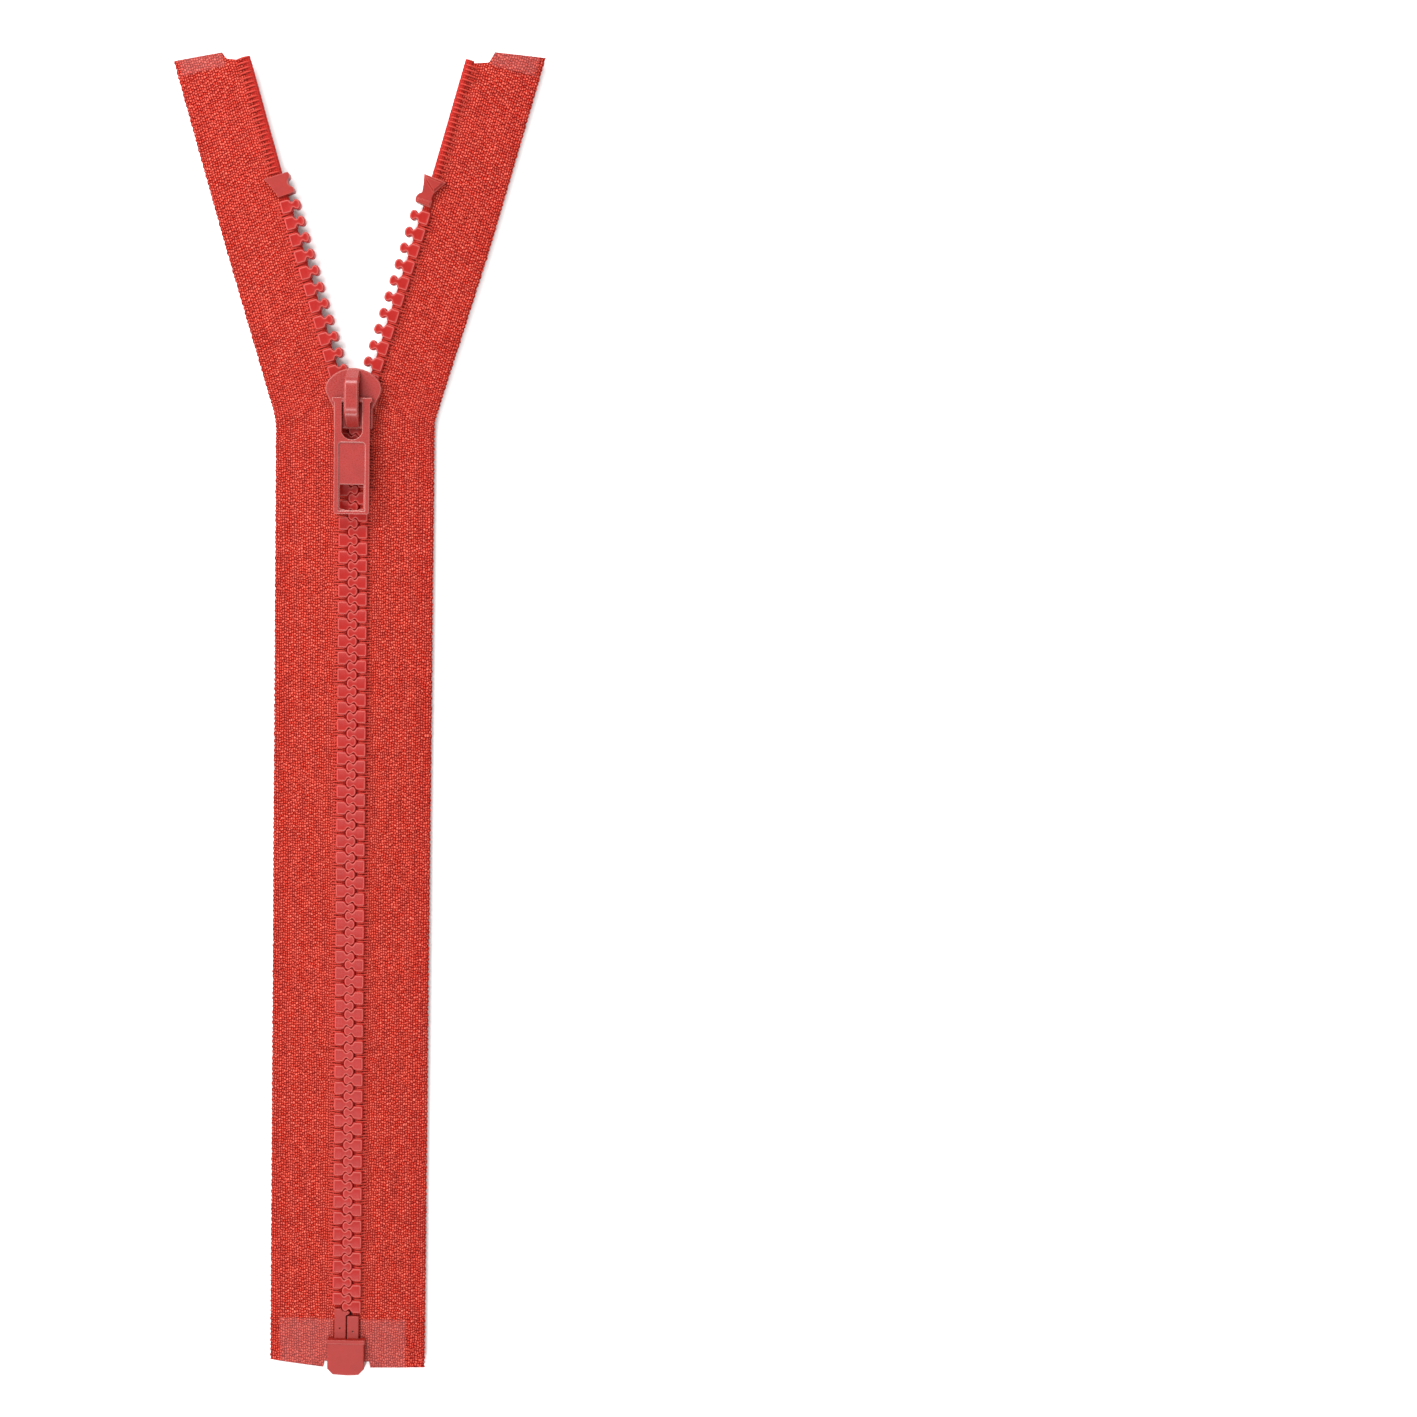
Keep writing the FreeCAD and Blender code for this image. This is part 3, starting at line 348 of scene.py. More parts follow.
def moulded_material(name, core, edge, rough, shine, bevel):
    """Satin plastic or enamel, a little mottled, with a painted highlight along its edges, patchy in
    places like wear. The edges are found within bevel millimetres, or, with a bevel of 0, the mesh gives
    them as its rim."""
    n = Nodes(name)
    place = n.own_place()
    cloud = n.noise(place, 0.45, 3.0, 0.55)
    grain = n.noise(place, 9.0, 3.0, 0.6)
    shade = n.math("ADD", n.math("MULTIPLY", cloud, 0.7), n.math("MULTIPLY", grain, 0.3))
    darker = tuple(0.86 * c for c in core[:3]) + (1.0,)
    colour = n.mix(n.between(shade, 0.3, 0.7), darker, core)
    normal = None
    if bevel:
        rounded = n.node("ShaderNodeBevel", samples=6)
        rounded.inputs["Radius"].default_value = bevel * MM
        normal = rounded.outputs[0]
        dot = n.node("ShaderNodeVectorMath", operation="DOT_PRODUCT")
        n.plug(dot.inputs[0], normal)
        n.plug(dot.inputs[1], n.node("ShaderNodeNewGeometry").outputs["True Normal"])
        edge_highlight_mask = n.math("SUBTRACT", 1.0, n.between(dot.outputs["Value"], 0.86, 0.998))
    else:
        # The rim is above 0 on the rounded edges, where it paints a highlight, and below 0 down in the
        # gaps, where it paints the strong red that light coming through the plastic gives them in place
        # of their shade.
        rim = n.attribute("rim").outputs["Fac"]
        edge_highlight_mask = n.math("MAXIMUM", rim, 0.0)
        colour = n.mix(n.between(n.math("MULTIPLY", rim, -1.0), 0.0, 1.0), colour, GAP_BOUNCE_RED)
    # Pale edges: a painted highlight, patchy in places like wear.
    worn_edge_highlight = n.math("MULTIPLY", edge_highlight_mask, n.between(grain, 0.2, 0.7))
    edge_highlight_and_wear = n.math("ADD", n.math("MULTIPLY", edge_highlight_mask, 0.45), n.math("MULTIPLY", worn_edge_highlight, 0.5))
    colour = n.mix(edge_highlight_and_wear, colour, edge)
    scuffs = n.noise(n.join(*n.split(place)[:2], 0.0), 3.0, 4.0, 0.7)
    roughness = n.math("ADD", n.math("MULTIPLY", scuffs, 0.22), rough - 0.11)
    height = n.math("ADD", grain, n.math("MULTIPLY", scuffs, 0.5))
    return n.finish(Base_Color=colour, Roughness=roughness, Specular_IOR_Level=shine,
                    Normal=n.bump(height, 0.02 * MM, 0.5, normal))


def steel_material():
    n = Nodes("rolled_steel")
    x, y, z = n.split(n.own_place())
    lines = n.noise(n.join(n.math("MULTIPLY", x, 14.0), y, z), 1.0, 2.0, 0.6)
    colour = n.mix(lines, (0.36, 0.34, 0.31, 1.0), (0.62, 0.60, 0.56, 1.0))
    roughness = n.math("ADD", n.math("MULTIPLY", lines, 0.2), 0.28)
    return n.finish(Base_Color=colour, Metallic=1.0, Roughness=roughness,
                    Normal=n.bump(lines, 0.01 * MM, 0.5))


def floor_material():
    n = Nodes("pale_floor")
    cloud = n.noise(n.node("ShaderNodeTexCoord").outputs["Object"], 6.0, 2.0, 0.5)
    colour = n.mix(cloud, (0.93, 0.93, 0.93, 1), (0.95, 0.95, 0.95, 1))
    return n.finish(Base_Color=colour, Roughness=0.9, Specular_IOR_Level=0.1)


TAPE = cloth_material("tape_cloth")
FILM = cloth_material("film_over_cloth", 1.0)
THREAD = thread_material()
CORD = cord_material()
# The second colour of each is the painted highlight on its edges.
TEETH = moulded_material("moulded_teeth", linear(178, 26, 20), linear(230, 122, 114),
                         rough=0.34, shine=0.18, bevel=0)
MOULDED = moulded_material("moulded_parts", linear(170, 36, 28), linear(218, 112, 102),
                           rough=0.40, shine=0.28, bevel=0.24)
ENAMEL = moulded_material("slider_enamel", linear(172, 48, 43), linear(240, 164, 154),
                          rough=0.28, shine=0.42, bevel=0.28)
STEEL = steel_material()


# ---------------------------------------------------------------- meshes

def add_mesh(name, points, faces, material, slot, body=None, bend=None, values=None, sharp=None):
    """A mesh from points in millimetres. It rides on body, or, when bend is given as (body, body,
    station, station), keeps its place in the world; the bend's bodies and stations are not used. values
    are its point attributes, sharp its angle of sharp edges."""
    mesh = bpy.data.meshes.new(name)
    mesh.from_pydata((points * MM).tolist(), [], faces if isinstance(faces, list) else faces.tolist())
    for key, given in (values or {}).items():
        vector = given.ndim == 2
        made = mesh.attributes.new(key, "FLOAT_VECTOR" if vector else "FLOAT", "POINT")
        numbers = np.ascontiguousarray(given, np.float32).ravel()
        made.data.foreach_set("vector" if vector else "value", numbers)
    mesh.validate()
    mesh.shade_smooth()
    if sharp:
        mesh.set_sharp_from_angle(angle=math.radians(sharp))
    mesh.materials.append(material)
    piece = bpy.data.objects.new(name, mesh)
    bpy.context.scene.collection.objects.link(piece)
    if bend:
        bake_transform(piece)
    else:
        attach(piece, body)
    return piece


def grid_faces(rows, ring, closed):
    """Quads between rows of ring points. A closed ring joins its last point to its first."""
    row, here = np.meshgrid(np.arange(rows - 1), np.arange(ring if closed else ring - 1), indexing="ij")
    row, there = row * ring, (here + 1) % ring
    return np.stack([row + here, row + there, row + ring + there, row + ring + here], -1).reshape(-1, 4)


def tube_faces(rows, ring):
    """The faces of a tube with closed ends."""
    last = (rows - 1) * ring
    ends = [list(range(ring))[::-1], [last + i for i in range(ring)]]
    return grid_faces(rows, ring, True).tolist() + ends


def turn_over(faces):
    """The same faces, looking the other way."""
    return [face[::-1] for face in faces] if isinstance(faces, list) else faces[:, ::-1]


def triples(x, y, z):
    """Three values for every point of a mesh."""
    return np.stack(np.broadcast_arrays(x, y, z), -1).reshape(-1, 3)


def zones(side):
    """Stretches of a stringer: its name, from, to, and how it moves."""
    stringer, arm = side.name + "_stringer", side.name + "_arm"
    return (("low", 0.0, LOW_END, {"bend": ("base", stringer, *FOOT_BEND)}),
            ("mid", LOW_END, MID_END, {"body": stringer}),
            ("top", MID_END, math.inf, {"bend": (stringer, arm, *ARM_BEND)}))


# ---------------------------------------------------------------- the woven tapes

CELL_W, CELL_T = 0.92, 1.09     # the weave's repeat across and along the tape
STEP_T = CELL_T / 6             # between the rows of a tape's mesh
STEP_THIN, SEWING_COLUMNS = 0.233, 52
COLUMNS = np.concatenate([
    np.arange(TAPE_INNER, SEWING_INNER, STEP_THIN),
    SEWING_INNER + np.arange(SEWING_COLUMNS + 1) * (TAPE_OUTER - SEWING_INNER) / SEWING_COLUMNS])
OUTER_BULGE, INNER_BULGE = 0.09, 0.05      # the tape's edges are rounded by this much


def ripple(w, t, seed, count=5, scale=1.0):
    """A smooth random field of about -1 to 1."""
    draw = np.random.default_rng(seed)
    total = 0.0
    for _ in range(count):
        fw, ft = draw.normal(0, 1.1, 2) * scale
        total = total + np.sin(fw * w + ft * t + draw.uniform(0, 2 * PI))
    return total / math.sqrt(count) / 1.3


def yarns(w, t, seed):
    """The weave's own coordinates: w and t with the unevenness of real yarns."""
    jw = w + 0.10 * ripple(w, t, seed, scale=0.9)
    jt = t + 0.11 * ripple(w, t, seed + 1, scale=0.9)
    return jw, jt + 0.10 * np.sin(PI * jw / CELL_W)


RIBS_FROM = 12.6                # where the columns of the selvage start
FINE_LINES = ((0.5, 10.2, 0.28), (0.3, 7.4, 0.25))      # depth, place and width of two lines


def weave(w, t, seed):
    """Height of the weave, about -1 to 1: yarns that come up in a half-drop, in columns at the
    selvage."""
    jw, jt = yarns(w, t, seed)
    cell = np.tanh(1.8 * np.cos(PI * jw / CELL_W) * np.cos(2 * PI * jt / CELL_T)) / 0.95
    lift = 0.75 + 0.35 * ripple(w, t, seed + 2, scale=1.6)
    ribs = np.clip((w - RIBS_FROM) / 0.8, 0, 1) * (0.5 - 0.5 * np.cos(2 * PI * w / CELL_W))
    line = sum(depth * np.exp(-((w - place) / width) ** 2) for depth, place, width in FINE_LINES)
    inside = np.clip((w - SEWING_INNER + 0.1) / 0.5, 0, 1)
    return inside * (cell * lift - 0.4 * ribs - 0.5 * line)


def face_weave(side, w, t, front):
    """The weave of the tape's front or of its back, where it is one cell over."""
    return weave(w, t, side.front_seed) if front else weave(w + CELL_W, t, side.back_seed)


def half_thick(w):
    """Half the cloth's thickness at w."""
    return THIN_HALF + SEWING_MORE * np.clip((w - SEWING_INNER) / 0.6, 0, 1)


DIP, SLOW_WAVE = 0.8, 0.16      # how far the selvage dips, and how much that varies
PUCKER_AT, PUCKER_LONG, PUCKER_WAVE, PUCKER_HIGH = 204.5, 6.0, 6.5, 0.38


def tape_lift(side, w, t):
    """How a tape that lies free dips to its selvage in slow waves, and its pucker beside the
    slider."""
    v = np.clip((w - TAPE_INNER) / (TAPE_OUTER - TAPE_INNER), 0, 1)
    slow = SLOW_WAVE * ripple(w * 0.02, t * 0.06, side.lie_seed, 4) * v ** 1.5 - DIP * v ** 1.2
    folds = np.sin(2 * PI * (t - PUCKER_AT + 1.5) / PUCKER_WAVE)
    return slow + PUCKER_HIGH * np.exp(-((t - PUCKER_AT) / PUCKER_LONG) ** 2) * folds * v ** 2


def tape_ends(side, w):
    """Stations of the tape's cut ends at each w: aslant, with a notch for the box at the foot, and
    a step and a slope down to the cord at the arm's end."""
    share = np.clip((w - BOX_NOTCH_OUTER) / (TAPE_OUTER - BOX_NOTCH_OUTER), 0, 1)
    slant = FOOT_CUT + share * (side.cut - FOOT_CUT)
    low = np.where(w < BOX_NOTCH_OUTER - 0.1, BOX_NOTCH_TOP, slant)
    high = side.top + side.rise * np.clip((w - NOTCH_OUTER) / (TAPE_OUTER - NOTCH_OUTER), 0, 1)
    high -= side.notch * np.clip((NOTCH_OUTER - w) / 0.5, 0, 1)
    return low, high - NOTCH_FALL * np.clip((NOTCH_OUTER - 0.5 - w) / 3.0, 0, 1.1)


def tape_rows(side, start, stop):
    """Stations of a stretch's rows, evenly apart, before they are fitted to the cuts."""
    start, stop = max(start, FIRST_ROW), min(stop, side.top)
    return np.linspace(start, stop, int(round((stop - start) / STEP_T)) + 1)


def fitted(side, t, w):
    """Stations with the rows near a cut end slid so that the last one lies on the cut."""
    low, high = tape_ends(side, w)
    zone_end, zone_start = FIRST_ROW + END_ZONE, side.top - END_ZONE
    t = np.where(t < zone_end, low + (t - FIRST_ROW) * (zone_end - low) / END_ZONE, t)
    return np.where(t > zone_start, high - (side.top - t) * (high - zone_start) / END_ZONE, t)


SELVAGE = 0.9                              # the outer edge's width, where the weft loops turn
SCALLOP, FRAY, DRAWN_IN = 0.08, 0.05, 0.06
TAPER_WIDTH, TAPER_LEAST = 0.35, 0.45      # the cloth thins at its outer edge to this share
PRESSED = 0.6                              # how much flatter the weave is under a film


def tape_piece(side, zone, start, stop, motion):
    """A stretch of tape as a closed sheet, and its length."""
    rows = tape_rows(side, start, stop)
    count = len(COLUMNS)
    # Once round the section: out along the front, round the selvage, back along the back.
    w = np.concatenate([COLUMNS, [TAPE_OUTER + OUTER_BULGE], COLUMNS[::-1], [TAPE_INNER - INNER_BULGE]])
    face = np.concatenate([np.ones(count), [0], -np.ones(count), [0]])
    tt, ww = np.meshgrid(rows, w, indexing="ij")
    tt = fitted(side, tt, np.minimum(ww, TAPE_OUTER))
    height = np.where(face > 0, face_weave(side, ww, tt, True), face_weave(side, ww, tt, False))
    filmed = np.clip((FOOT_TOP - 0.4 - tt) / 0.4, 0, 1) * (ww < side.film_outer)
    filmed += np.clip((tt - side.top + END_FILM) / 0.3, 0, 1)
    height = height * (1 - PRESSED * filmed)
    taper = np.clip((TAPE_OUTER + 0.1 - ww) / TAPER_WIDTH, TAPER_LEAST, 1)
    z = MID + face * (half_thick(ww) * taper + SURFACE_RELIEF * height) + tape_lift(side, ww, tt)
    # The weft loops make small scallops in the selvage.
    near_edge = np.clip((ww - TAPE_OUTER + SELVAGE) / SELVAGE, 0, 1)
    scallop = SCALLOP * near_edge * np.cos(2 * PI * (tt + 0.3 * ripple(ww, tt, 31)) / CELL_T)
    frayed = FRAY * near_edge * ripple(ww, tt, 33, scale=2.0)
    out, along = side.spread(tt, ww + scallop + frayed - DRAWN_IN * near_edge)
    points = side.points(out, along, z)
    # A cut end is closed by strips from the front to the back, and a triangle at each side.
    caps = [[j, j + 1, 2 * count - 1 - j, 2 * count - j] for j in range(count - 1)]
    caps += [[count - 1, count, count + 1], [0, 2 * count, 2 * count + 1]]
    last = (len(rows) - 1) * len(w)
    faces = grid_faces(len(rows), len(w), True).tolist()
    faces += turn_over(caps) + [[i + last for i in f] for f in caps]
    if side.sign < 0:
        faces = turn_over(faces)
    values = {"tape": triples(ww, tt, 0.0), "yarn": triples(*yarns(ww, tt, side.front_seed), 0.0),
              "relief": height.ravel()}
    piece = add_mesh(f"{side.name}_tape_{zone}", points, faces, TAPE, "tape", values=values, **motion)
    return piece, float(rows[-1] - rows[0])


FILM_GRID, FILM_RELIEF = 0.25, 0.045    # a film's mesh spacing, and its relief over the yarns
FILM_FADE, FILM_END_FADE = 1.3, 0.6     # over which a film thins out at its outer edge and its end
FILM_OUT, FILM_IN = 0.075, 0.03         # how far a film's two faces stand off the cloth


def film_skin(side, name, start, stop, inner, outer, body):
    """A thin welded film, back and front, that follows the weave under it."""
    rows = np.linspace(start, stop, int((stop - start) / FILM_GRID) + 1)
    columns = np.linspace(inner, outer, int((outer - inner) / FILM_GRID) + 1)
    row_t, ww = np.meshgrid(rows, columns, indexing="ij")
    # The film thins out to nothing at its outer edge and where it ends on the tape.
    from_end = stop - row_t if start < FOOT_TOP else row_t - start
    bare = np.maximum(np.clip((ww - outer + FILM_FADE) / FILM_FADE, 0, 1),
                      np.clip((FILM_END_FADE - from_end) / FILM_END_FADE, 0, 1))
    tt = fitted(side, row_t, ww)
    base = MID + tape_lift(side, ww, tt)
    out, along = side.spread(tt, ww)
    n_rows, n_cols = len(rows), len(columns)
    count = n_rows * n_cols
    border = np.concatenate([np.arange(n_cols - 1), np.arange(n_rows - 1) * n_cols + n_cols - 1,
                             (n_rows - 1) * n_cols + np.arange(n_cols - 1, 0, -1),
                             np.arange(n_rows - 1, 0, -1) * n_cols])
    points, faces, relief = [], [], []
    for sign in (1, -1):
        under = face_weave(side, ww, tt, sign > 0)
        first = sum(len(p) for p in points)
        outer_faces, edge = grid_faces(n_rows, n_cols, False) + first, border + first
        for layer in (FILM_OUT, FILM_IN):
            height = half_thick(ww) + layer + FILM_RELIEF * under
            points.append(side.points(out, along, base + sign * height))
            relief.append(0.9 * under.ravel())
        inner_faces = outer_faces[:, ::-1] + count
        following = np.roll(edge, -1)
        rim = np.stack([following, edge, edge + count, following + count], -1)
        made = np.concatenate([outer_faces, inner_faces, rim])
        faces.append(turn_over(made) if side.sign * sign < 0 else made)
    layers = (len(points), 1)
    values = {"tape": np.tile(triples(ww, tt, bare), layers),
              "yarn": np.tile(triples(*yarns(ww, tt, side.front_seed), 0.0), layers),
              "relief": np.concatenate(relief)}
    return add_mesh(name, np.concatenate(points), np.concatenate(faces), FILM, "film", body=body,
                    values=values)


# ---------------------------------------------------------------- cords and ladder threads

def tube(centre, normal, side_way, radius_n, radius_s, ring):
    """Ring points round each centre point, and the faces of the tube."""
    angle = np.arange(ring) * 2 * PI / ring
    points = (centre[:, None] + np.cos(angle)[None, :, None] * (normal * radius_n[:, None])[:, None]
              + np.sin(angle)[None, :, None] * (side_way * radius_s[:, None])[:, None])
    return points.reshape(-1, 3), tube_faces(len(centre), ring)


CORD_RING, CORD_STEP, BRAID = 14, 0.2, 1.6
CORD_INWARD = 0.3                           # the cord reaches in between the teeth
CORD_WIDER, CORD_FLATTER = 0.27, 0.03       # and is oval


def cord_piece(side, zone, start, stop, motion):
    """The braided cord in the tape's inner edge."""
    start, stop = max(start, side.cord_start), min(stop, side.cord_end)
    rows = np.arange(start, stop + 0.01, CORD_STEP)
    tt, aa = np.meshgrid(rows, np.arange(CORD_RING) * 2 * PI / CORD_RING, indexing="ij")
    turn = 2 * PI * tt / BRAID
    braid = 0.05 * np.cos(3 * aa + turn) * np.cos(3 * aa - turn)
    across = CORD_AT - CORD_INWARD + (CORD_RADIUS + CORD_WIDER + braid) * np.cos(aa)
    out, along = side.offset(tt, across)
    points = side.points(out, along, MID + (CORD_RADIUS - CORD_FLATTER + braid) * np.sin(aa))
    faces = tube_faces(len(rows), CORD_RING)
    if side.sign > 0:
        faces = turn_over(faces)
    values = {"tape": triples(aa * CORD_RADIUS, tt, 0.0)}
    return add_mesh(f"{side.name}_cord_{zone}", points, faces, CORD, "cord", values=values, **motion)


# A ladder thread's way over the cord, and up to a tooth's outer edge, as (w, height over the
# middle plane).
OVER_CORD = ((4.1, 0.26), (3.7, 0.34), (3.3, 0.46), (2.95, 0.64), (2.55, 0.80), (2.1, 0.82),
             (1.7, 0.68), (1.45, 0.32))
TO_TOOTH = ((4.1, 0.24), (3.8, 0.29), (3.4, 0.34), (3.1, 0.40), (2.85, 0.52))
# Threads lie beside the middle of a gap and of a tooth by these distances.
IN_GAP, AT_TOOTH = (-0.28, 0.28), (-0.75, 0.0, 0.75)
TAIL_FROM, TAIL_STEP = 7.4, 1.0       # the bare tail's threads: from the last tooth, and apart
THREAD_RING = 6


def thread_mesh(side, station, way, face, radius):
    """One thread on the tape's front (face 1) or back (face -1), a little out of its place."""
    w = np.array([p[0] for p in way]) + rng.normal(0, 0.03)
    z = MID + face * (np.array([p[1] for p in way]) + rng.normal(0, 0.015))
    t = station + rng.normal(0, 0.03) + np.linspace(0, rng.normal(0, 0.06), len(way))
    out, along = side.offset(t, w)
    centre = side.points(out, along, z)
    forward = np.gradient(centre, axis=0)
    forward /= np.linalg.norm(forward, axis=1)[:, None]
    up = np.tile([0.0, 0.0, 1.0], (len(centre), 1))
    side_way = np.cross(forward, up)
    side_way /= np.linalg.norm(side_way, axis=1)[:, None]
    normal = np.cross(side_way, forward)
    swell = radius * np.concatenate([[0.5], np.ones(len(way) - 2), [0.6]])
    return tube(centre, normal, side_way, swell * 0.8, swell, THREAD_RING)


def thread_stations(side, start, stop):
    """Where ladder threads run, with their way and radius: two in each gap between teeth, three up
    to each tooth, and singly up the bare tail."""
    teeth = side.tooth_stations()
    gaps = (teeth[:-1] + teeth[1:]) / 2
    found = [(g + shift, OVER_CORD, 0.15) for g in gaps for shift in IN_GAP]
    tail = np.arange(teeth[-1] + TAIL_FROM, side.cord_end - 0.3, TAIL_STEP)
    found += [(s, OVER_CORD, 0.17) for s in tail]
    found += [(s + shift, TO_TOOTH, 0.16) for s in teeth for shift in AT_TOOTH]
    return [f for f in found if start <= f[0] < stop]


def thread_piece(side, zone, start, stop, motion):
    """All the ladder threads of a stretch, on its front and its back."""
    points, faces, count = [], [], 0
    for station, way, radius in thread_stations(side, start, stop):
        for face in (1, -1):
            made, made_faces = thread_mesh(side, station, way, face, radius)
            points.append(made)
            faces += [[i + count for i in f] for f in made_faces]
            count += len(made)
    return add_mesh(f"{side.name}_threads_{zone}", np.concatenate(points), faces, THREAD, "cord",
                    **motion)


# ---------------------------------------------------------------- teeth

def tooth_outline():
    """Half of a tooth's outline from its outer edge to its tip, as (u, half width along the tape):
    a block with a rounded corner, a neck and a head."""
    corner, block = 0.26, 1.22
    angle = np.linspace(PI / 2, 0, 5)
    rounded = np.stack([corner * (1 - np.sin(angle)), block - corner * (1 - np.cos(angle))], -1)
    knots = np.array([(1.50, block), (1.72, 1.17), (1.90, 0.98), (2.05, 0.72), (2.22, 0.52),
                      (2.42, 0.44), (2.60, 0.50), (2.76, 0.64), (2.94, 0.82), (3.16, 0.91),
                      (3.42, 0.87), (3.64, 0.70), (3.79, 0.44), (3.85, 0.15)])
    return np.concatenate([rounded, knots])


def tooth_mesh():
    """One tooth: u inward from its outer edge, v along the tape, z from the middle plane. It gives
    points, faces and the rim, which paints a highlight on the top edges and a strong red of light down
    in the gaps."""
    half = tooth_outline()
    outline = np.concatenate([half, half[::-1] * (1, -1)])
    forward = np.roll(outline, -1, 0) - np.roll(outline, 1, 0)
    inward = np.stack([forward[:, 1], -forward[:, 0]], -1)
    inward /= np.linalg.norm(inward, axis=1)[:, None]
    top = TOOTH_HALF_THICK
    # Rings up the side, as (inset, height, rim). A rim above 0 paints a highlight on the top edges, one
    # below 0 paints the red of light that comes through the plastic down in the gaps. A ledge at mid
    # height reaches into the gap, as the interlocking webs of real teeth do. The lower half mirrors
    # them.
    rings = ((-0.17, 0.0, -1.0), (-0.17, 0.86, -1.0), (-0.05, 0.92, -0.7), (-0.04, top - 0.20, 0.2),
             (-0.015, top - 0.09, 0.7), (0.04, top - 0.02, 1.0), (0.10, top, 0.6),
             (0.20, top - 0.005, 0.1), (0.40, top - 0.03, 0.0))
    levels = [(inset, -z, rim) for inset, z, rim in rings[:0:-1]] + list(rings)
    points, rim = [], []
    for inset, z, edge in levels:
        points.append(np.column_stack([outline + inward * inset, np.full(len(outline), z)]))
        rim.append(np.full(len(outline), edge))
    points, rim = np.concatenate(points), np.concatenate(rim)
    ring = len(outline)
    faces = grid_faces(len(levels), ring, True).tolist()
    last = (len(levels) - 1) * ring
    # Strips across the outline close the two flat faces.
    strip = [[i, i + 1, ring - 2 - i, ring - 1 - i] for i in range(len(half) - 1)]
    faces += turn_over(strip) + [[i + last for i in f] for f in strip]
    return points, faces, rim


TOOTH_POINTS, TOOTH_FACES, TOOTH_HIGHLIGHT_AND_GAP_RED = tooth_mesh()


def teeth_piece(side, zone, start, stop, motion):
    """Copies of the tooth along the tape's line, each a hair out of true."""
    stations = [s for s in side.tooth_stations() if start <= s < stop]
    points, faces = [], []
    for i, station in enumerate(stations):
        u, v, z = TOOTH_POINTS.T
        base_out, base_along, heading = side.line(station)
        w = TOOTH_OUTER - u
        v = v + rng.normal(0, 0.008) * u
        out = base_out + w * np.cos(heading) + v * np.sin(heading)
        along = base_along - w * np.sin(heading) + v * np.cos(heading)
        points.append(side.points(out, along, MID + z + rng.normal(0, 0.01)))
        faces += [[k + i * len(u) for k in f] for f in TOOTH_FACES]
    if side.sign > 0:
        faces = turn_over(faces)
    return add_mesh(f"{side.name}_teeth_{zone}", np.concatenate(points), faces, TEETH, "teeth", sharp=50,
                    values={"rim": np.tile(TOOTH_HIGHLIGHT_AND_GAP_RED, len(stations))}, **motion)


# ---------------------------------------------------------------- the pieces of each side

# The frame's nodes that the pieces of each zone stand for.
STANDS_FOR = {
    "tape": {"low": "tape_foot", "mid": "tape_chain", "top": "tape_arm"},
    "cord": {"low": "cord_chain", "top": "cord_arm"},
    "teeth": {"mid": "teeth_chain", "top": "teeth_arm"},
}


def build_side(side):
    """The cloth, threads, cord, teeth and films of one stringer."""
    name = side.name
    tapes, trims = {}, {}
    for zone, start, stop, motion in zones(side):
        tapes[zone] = tape_piece(side, zone, start, stop, motion)
        threads = thread_piece(side, zone, start, stop, motion)
        cord = cord_piece(side, zone, start, stop, motion)
        teeth = teeth_piece(side, zone, start, stop, motion)
        trims[zone] = [threads, cord, teeth]
        for kind, piece in (("tape", tapes[zone][0]), ("cord", cord), ("teeth", teeth)):
            if zone in STANDS_FOR[kind]:
                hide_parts(f"{name}_{STANDS_FOR[kind][zone]}")
    foot = film_skin(side, f"{name}_film_foot", FIRST_ROW, FOOT_TOP - 0.3, FILM_INNER, side.film_outer,
                     "base")
    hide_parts(f"{name}_foot_film")
    end = film_skin(side, f"{name}_film_end", side.top - END_FILM, side.top, NOTCH_OUTER,
                    TAPE_OUTER - 0.9, f"{name}_arm")
    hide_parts(f"{name}_end_film")
    trims["low"].append(foot)
    trims["top"].append(end)


for side in SIDES:
    build_side(side)

# The hard parts are shown as the frame has them.
CAD_LOOKS = {
    "retainer_box": MOULDED, "box_pin": MOULDED, "insertion_pin": MOULDED,
    "left_top_stop": MOULDED, "right_top_stop": MOULDED,
    "slider_body": ENAMEL, "slider_crown": ENAMEL, "pull_tab": ENAMEL, "lock_leaf": STEEL,
}
for node, material in CAD_LOOKS.items():
    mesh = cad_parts[node].data
    mesh.materials.clear()
    mesh.materials.append(material)


# ---------------------------------------------------------------- floor, light and camera

# Metres from here on.
FLOOR_REACH, FLOOR_DROP = 3.0, 0.00005
EYE, AIM = Vector((0.0746, 0.0401, 0.4955)), Vector((0.0746, 0.0048, 0.0))
ROLL, LENS, SENSOR = 1.09, 59.96, 36.0      # the roll in degrees, the others in millimetres


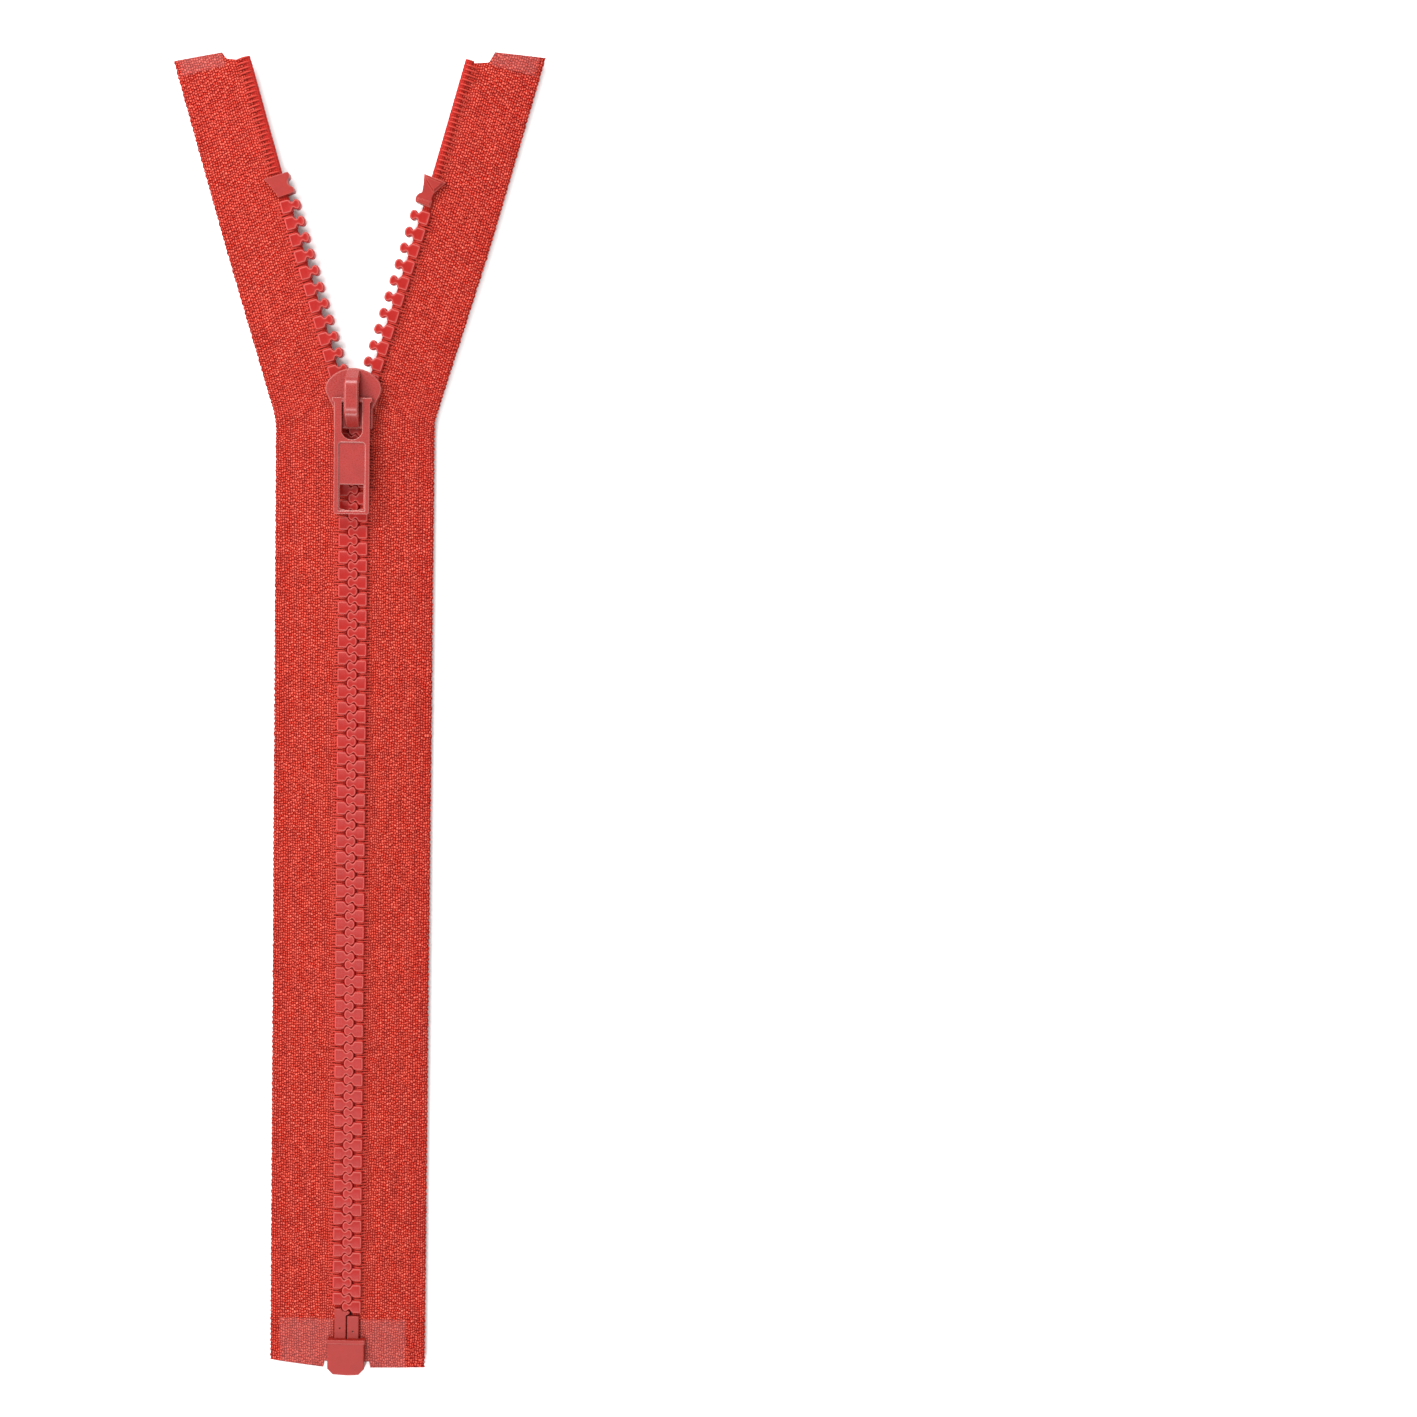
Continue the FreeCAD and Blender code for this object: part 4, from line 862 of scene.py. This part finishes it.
def add_floor():
    mesh = bpy.data.meshes.new("floor")
    corners = [(x * FLOOR_REACH, y * FLOOR_REACH, 0) for x, y in ((-1, -1), (1, -1), (1, 1), (-1, 1))]
    mesh.from_pydata(corners, [], [(0, 1, 2, 3)])
    floor = bpy.data.objects.new("floor", mesh)
    floor.location.z = -FLOOR_DROP
    floor.data.materials.append(floor_material())
    bpy.context.scene.collection.objects.link(floor)


def add_area(name, place, aim, width, depth, watts):
    lamp = bpy.data.lights.new(name, "AREA")
    lamp.shape, lamp.size, lamp.size_y, lamp.energy = "RECTANGLE", width, depth, watts
    holder = bpy.data.objects.new(name, lamp)
    holder.location = place
    holder.rotation_mode = "QUATERNION"
    holder.rotation_quaternion = (Vector(aim) - Vector(place)).to_track_quat("-Z", "Y")
    bpy.context.scene.collection.objects.link(holder)


def add_camera():
    data = bpy.data.cameras.new("camera")
    data.lens, data.sensor_width = LENS, SENSOR
    data.clip_start, data.clip_end = 0.01, 10.0
    camera = bpy.data.objects.new("camera", data)
    look = (AIM - EYE).normalized()
    right = look.cross(Vector((0, 1, 0))).normalized()
    up = right.cross(look)
    turn = Matrix((right, up, -look)).transposed().to_4x4()
    turn = turn @ Matrix.Rotation(math.radians(ROLL), 4, "Z")
    camera.matrix_world = Matrix.Translation(EYE) @ turn
    bpy.context.scene.collection.objects.link(camera)
    bpy.context.scene.camera = camera


def add_world(strength):
    world = bpy.data.worlds.new("studio")
    world.use_nodes = True
    background = world.node_tree.nodes["Background"]
    background.inputs["Color"].default_value = (1, 1, 1, 1)
    background.inputs["Strength"].default_value = strength
    bpy.context.scene.world = world


add_floor()
add_world(strength=0.80)
add_area("key", (-0.38, 0.26, 0.48), (0, 0.02, 0), 0.30, 0.30, 3.4)
add_area("front", (-0.10, -0.23, 0.78), (0, -0.06, 0), 0.30, 0.13, 2.2)
add_area("far", (-0.08, 0.50, 0.32), (0, 0.06, 0), 0.25, 0.15, 2.0)
add_area("near", (-0.05, -0.60, 0.35), (0, 0.0, 0), 0.25, 0.15, 1.8)
add_camera()
bpy.context.scene.view_settings.view_transform = "Standard"
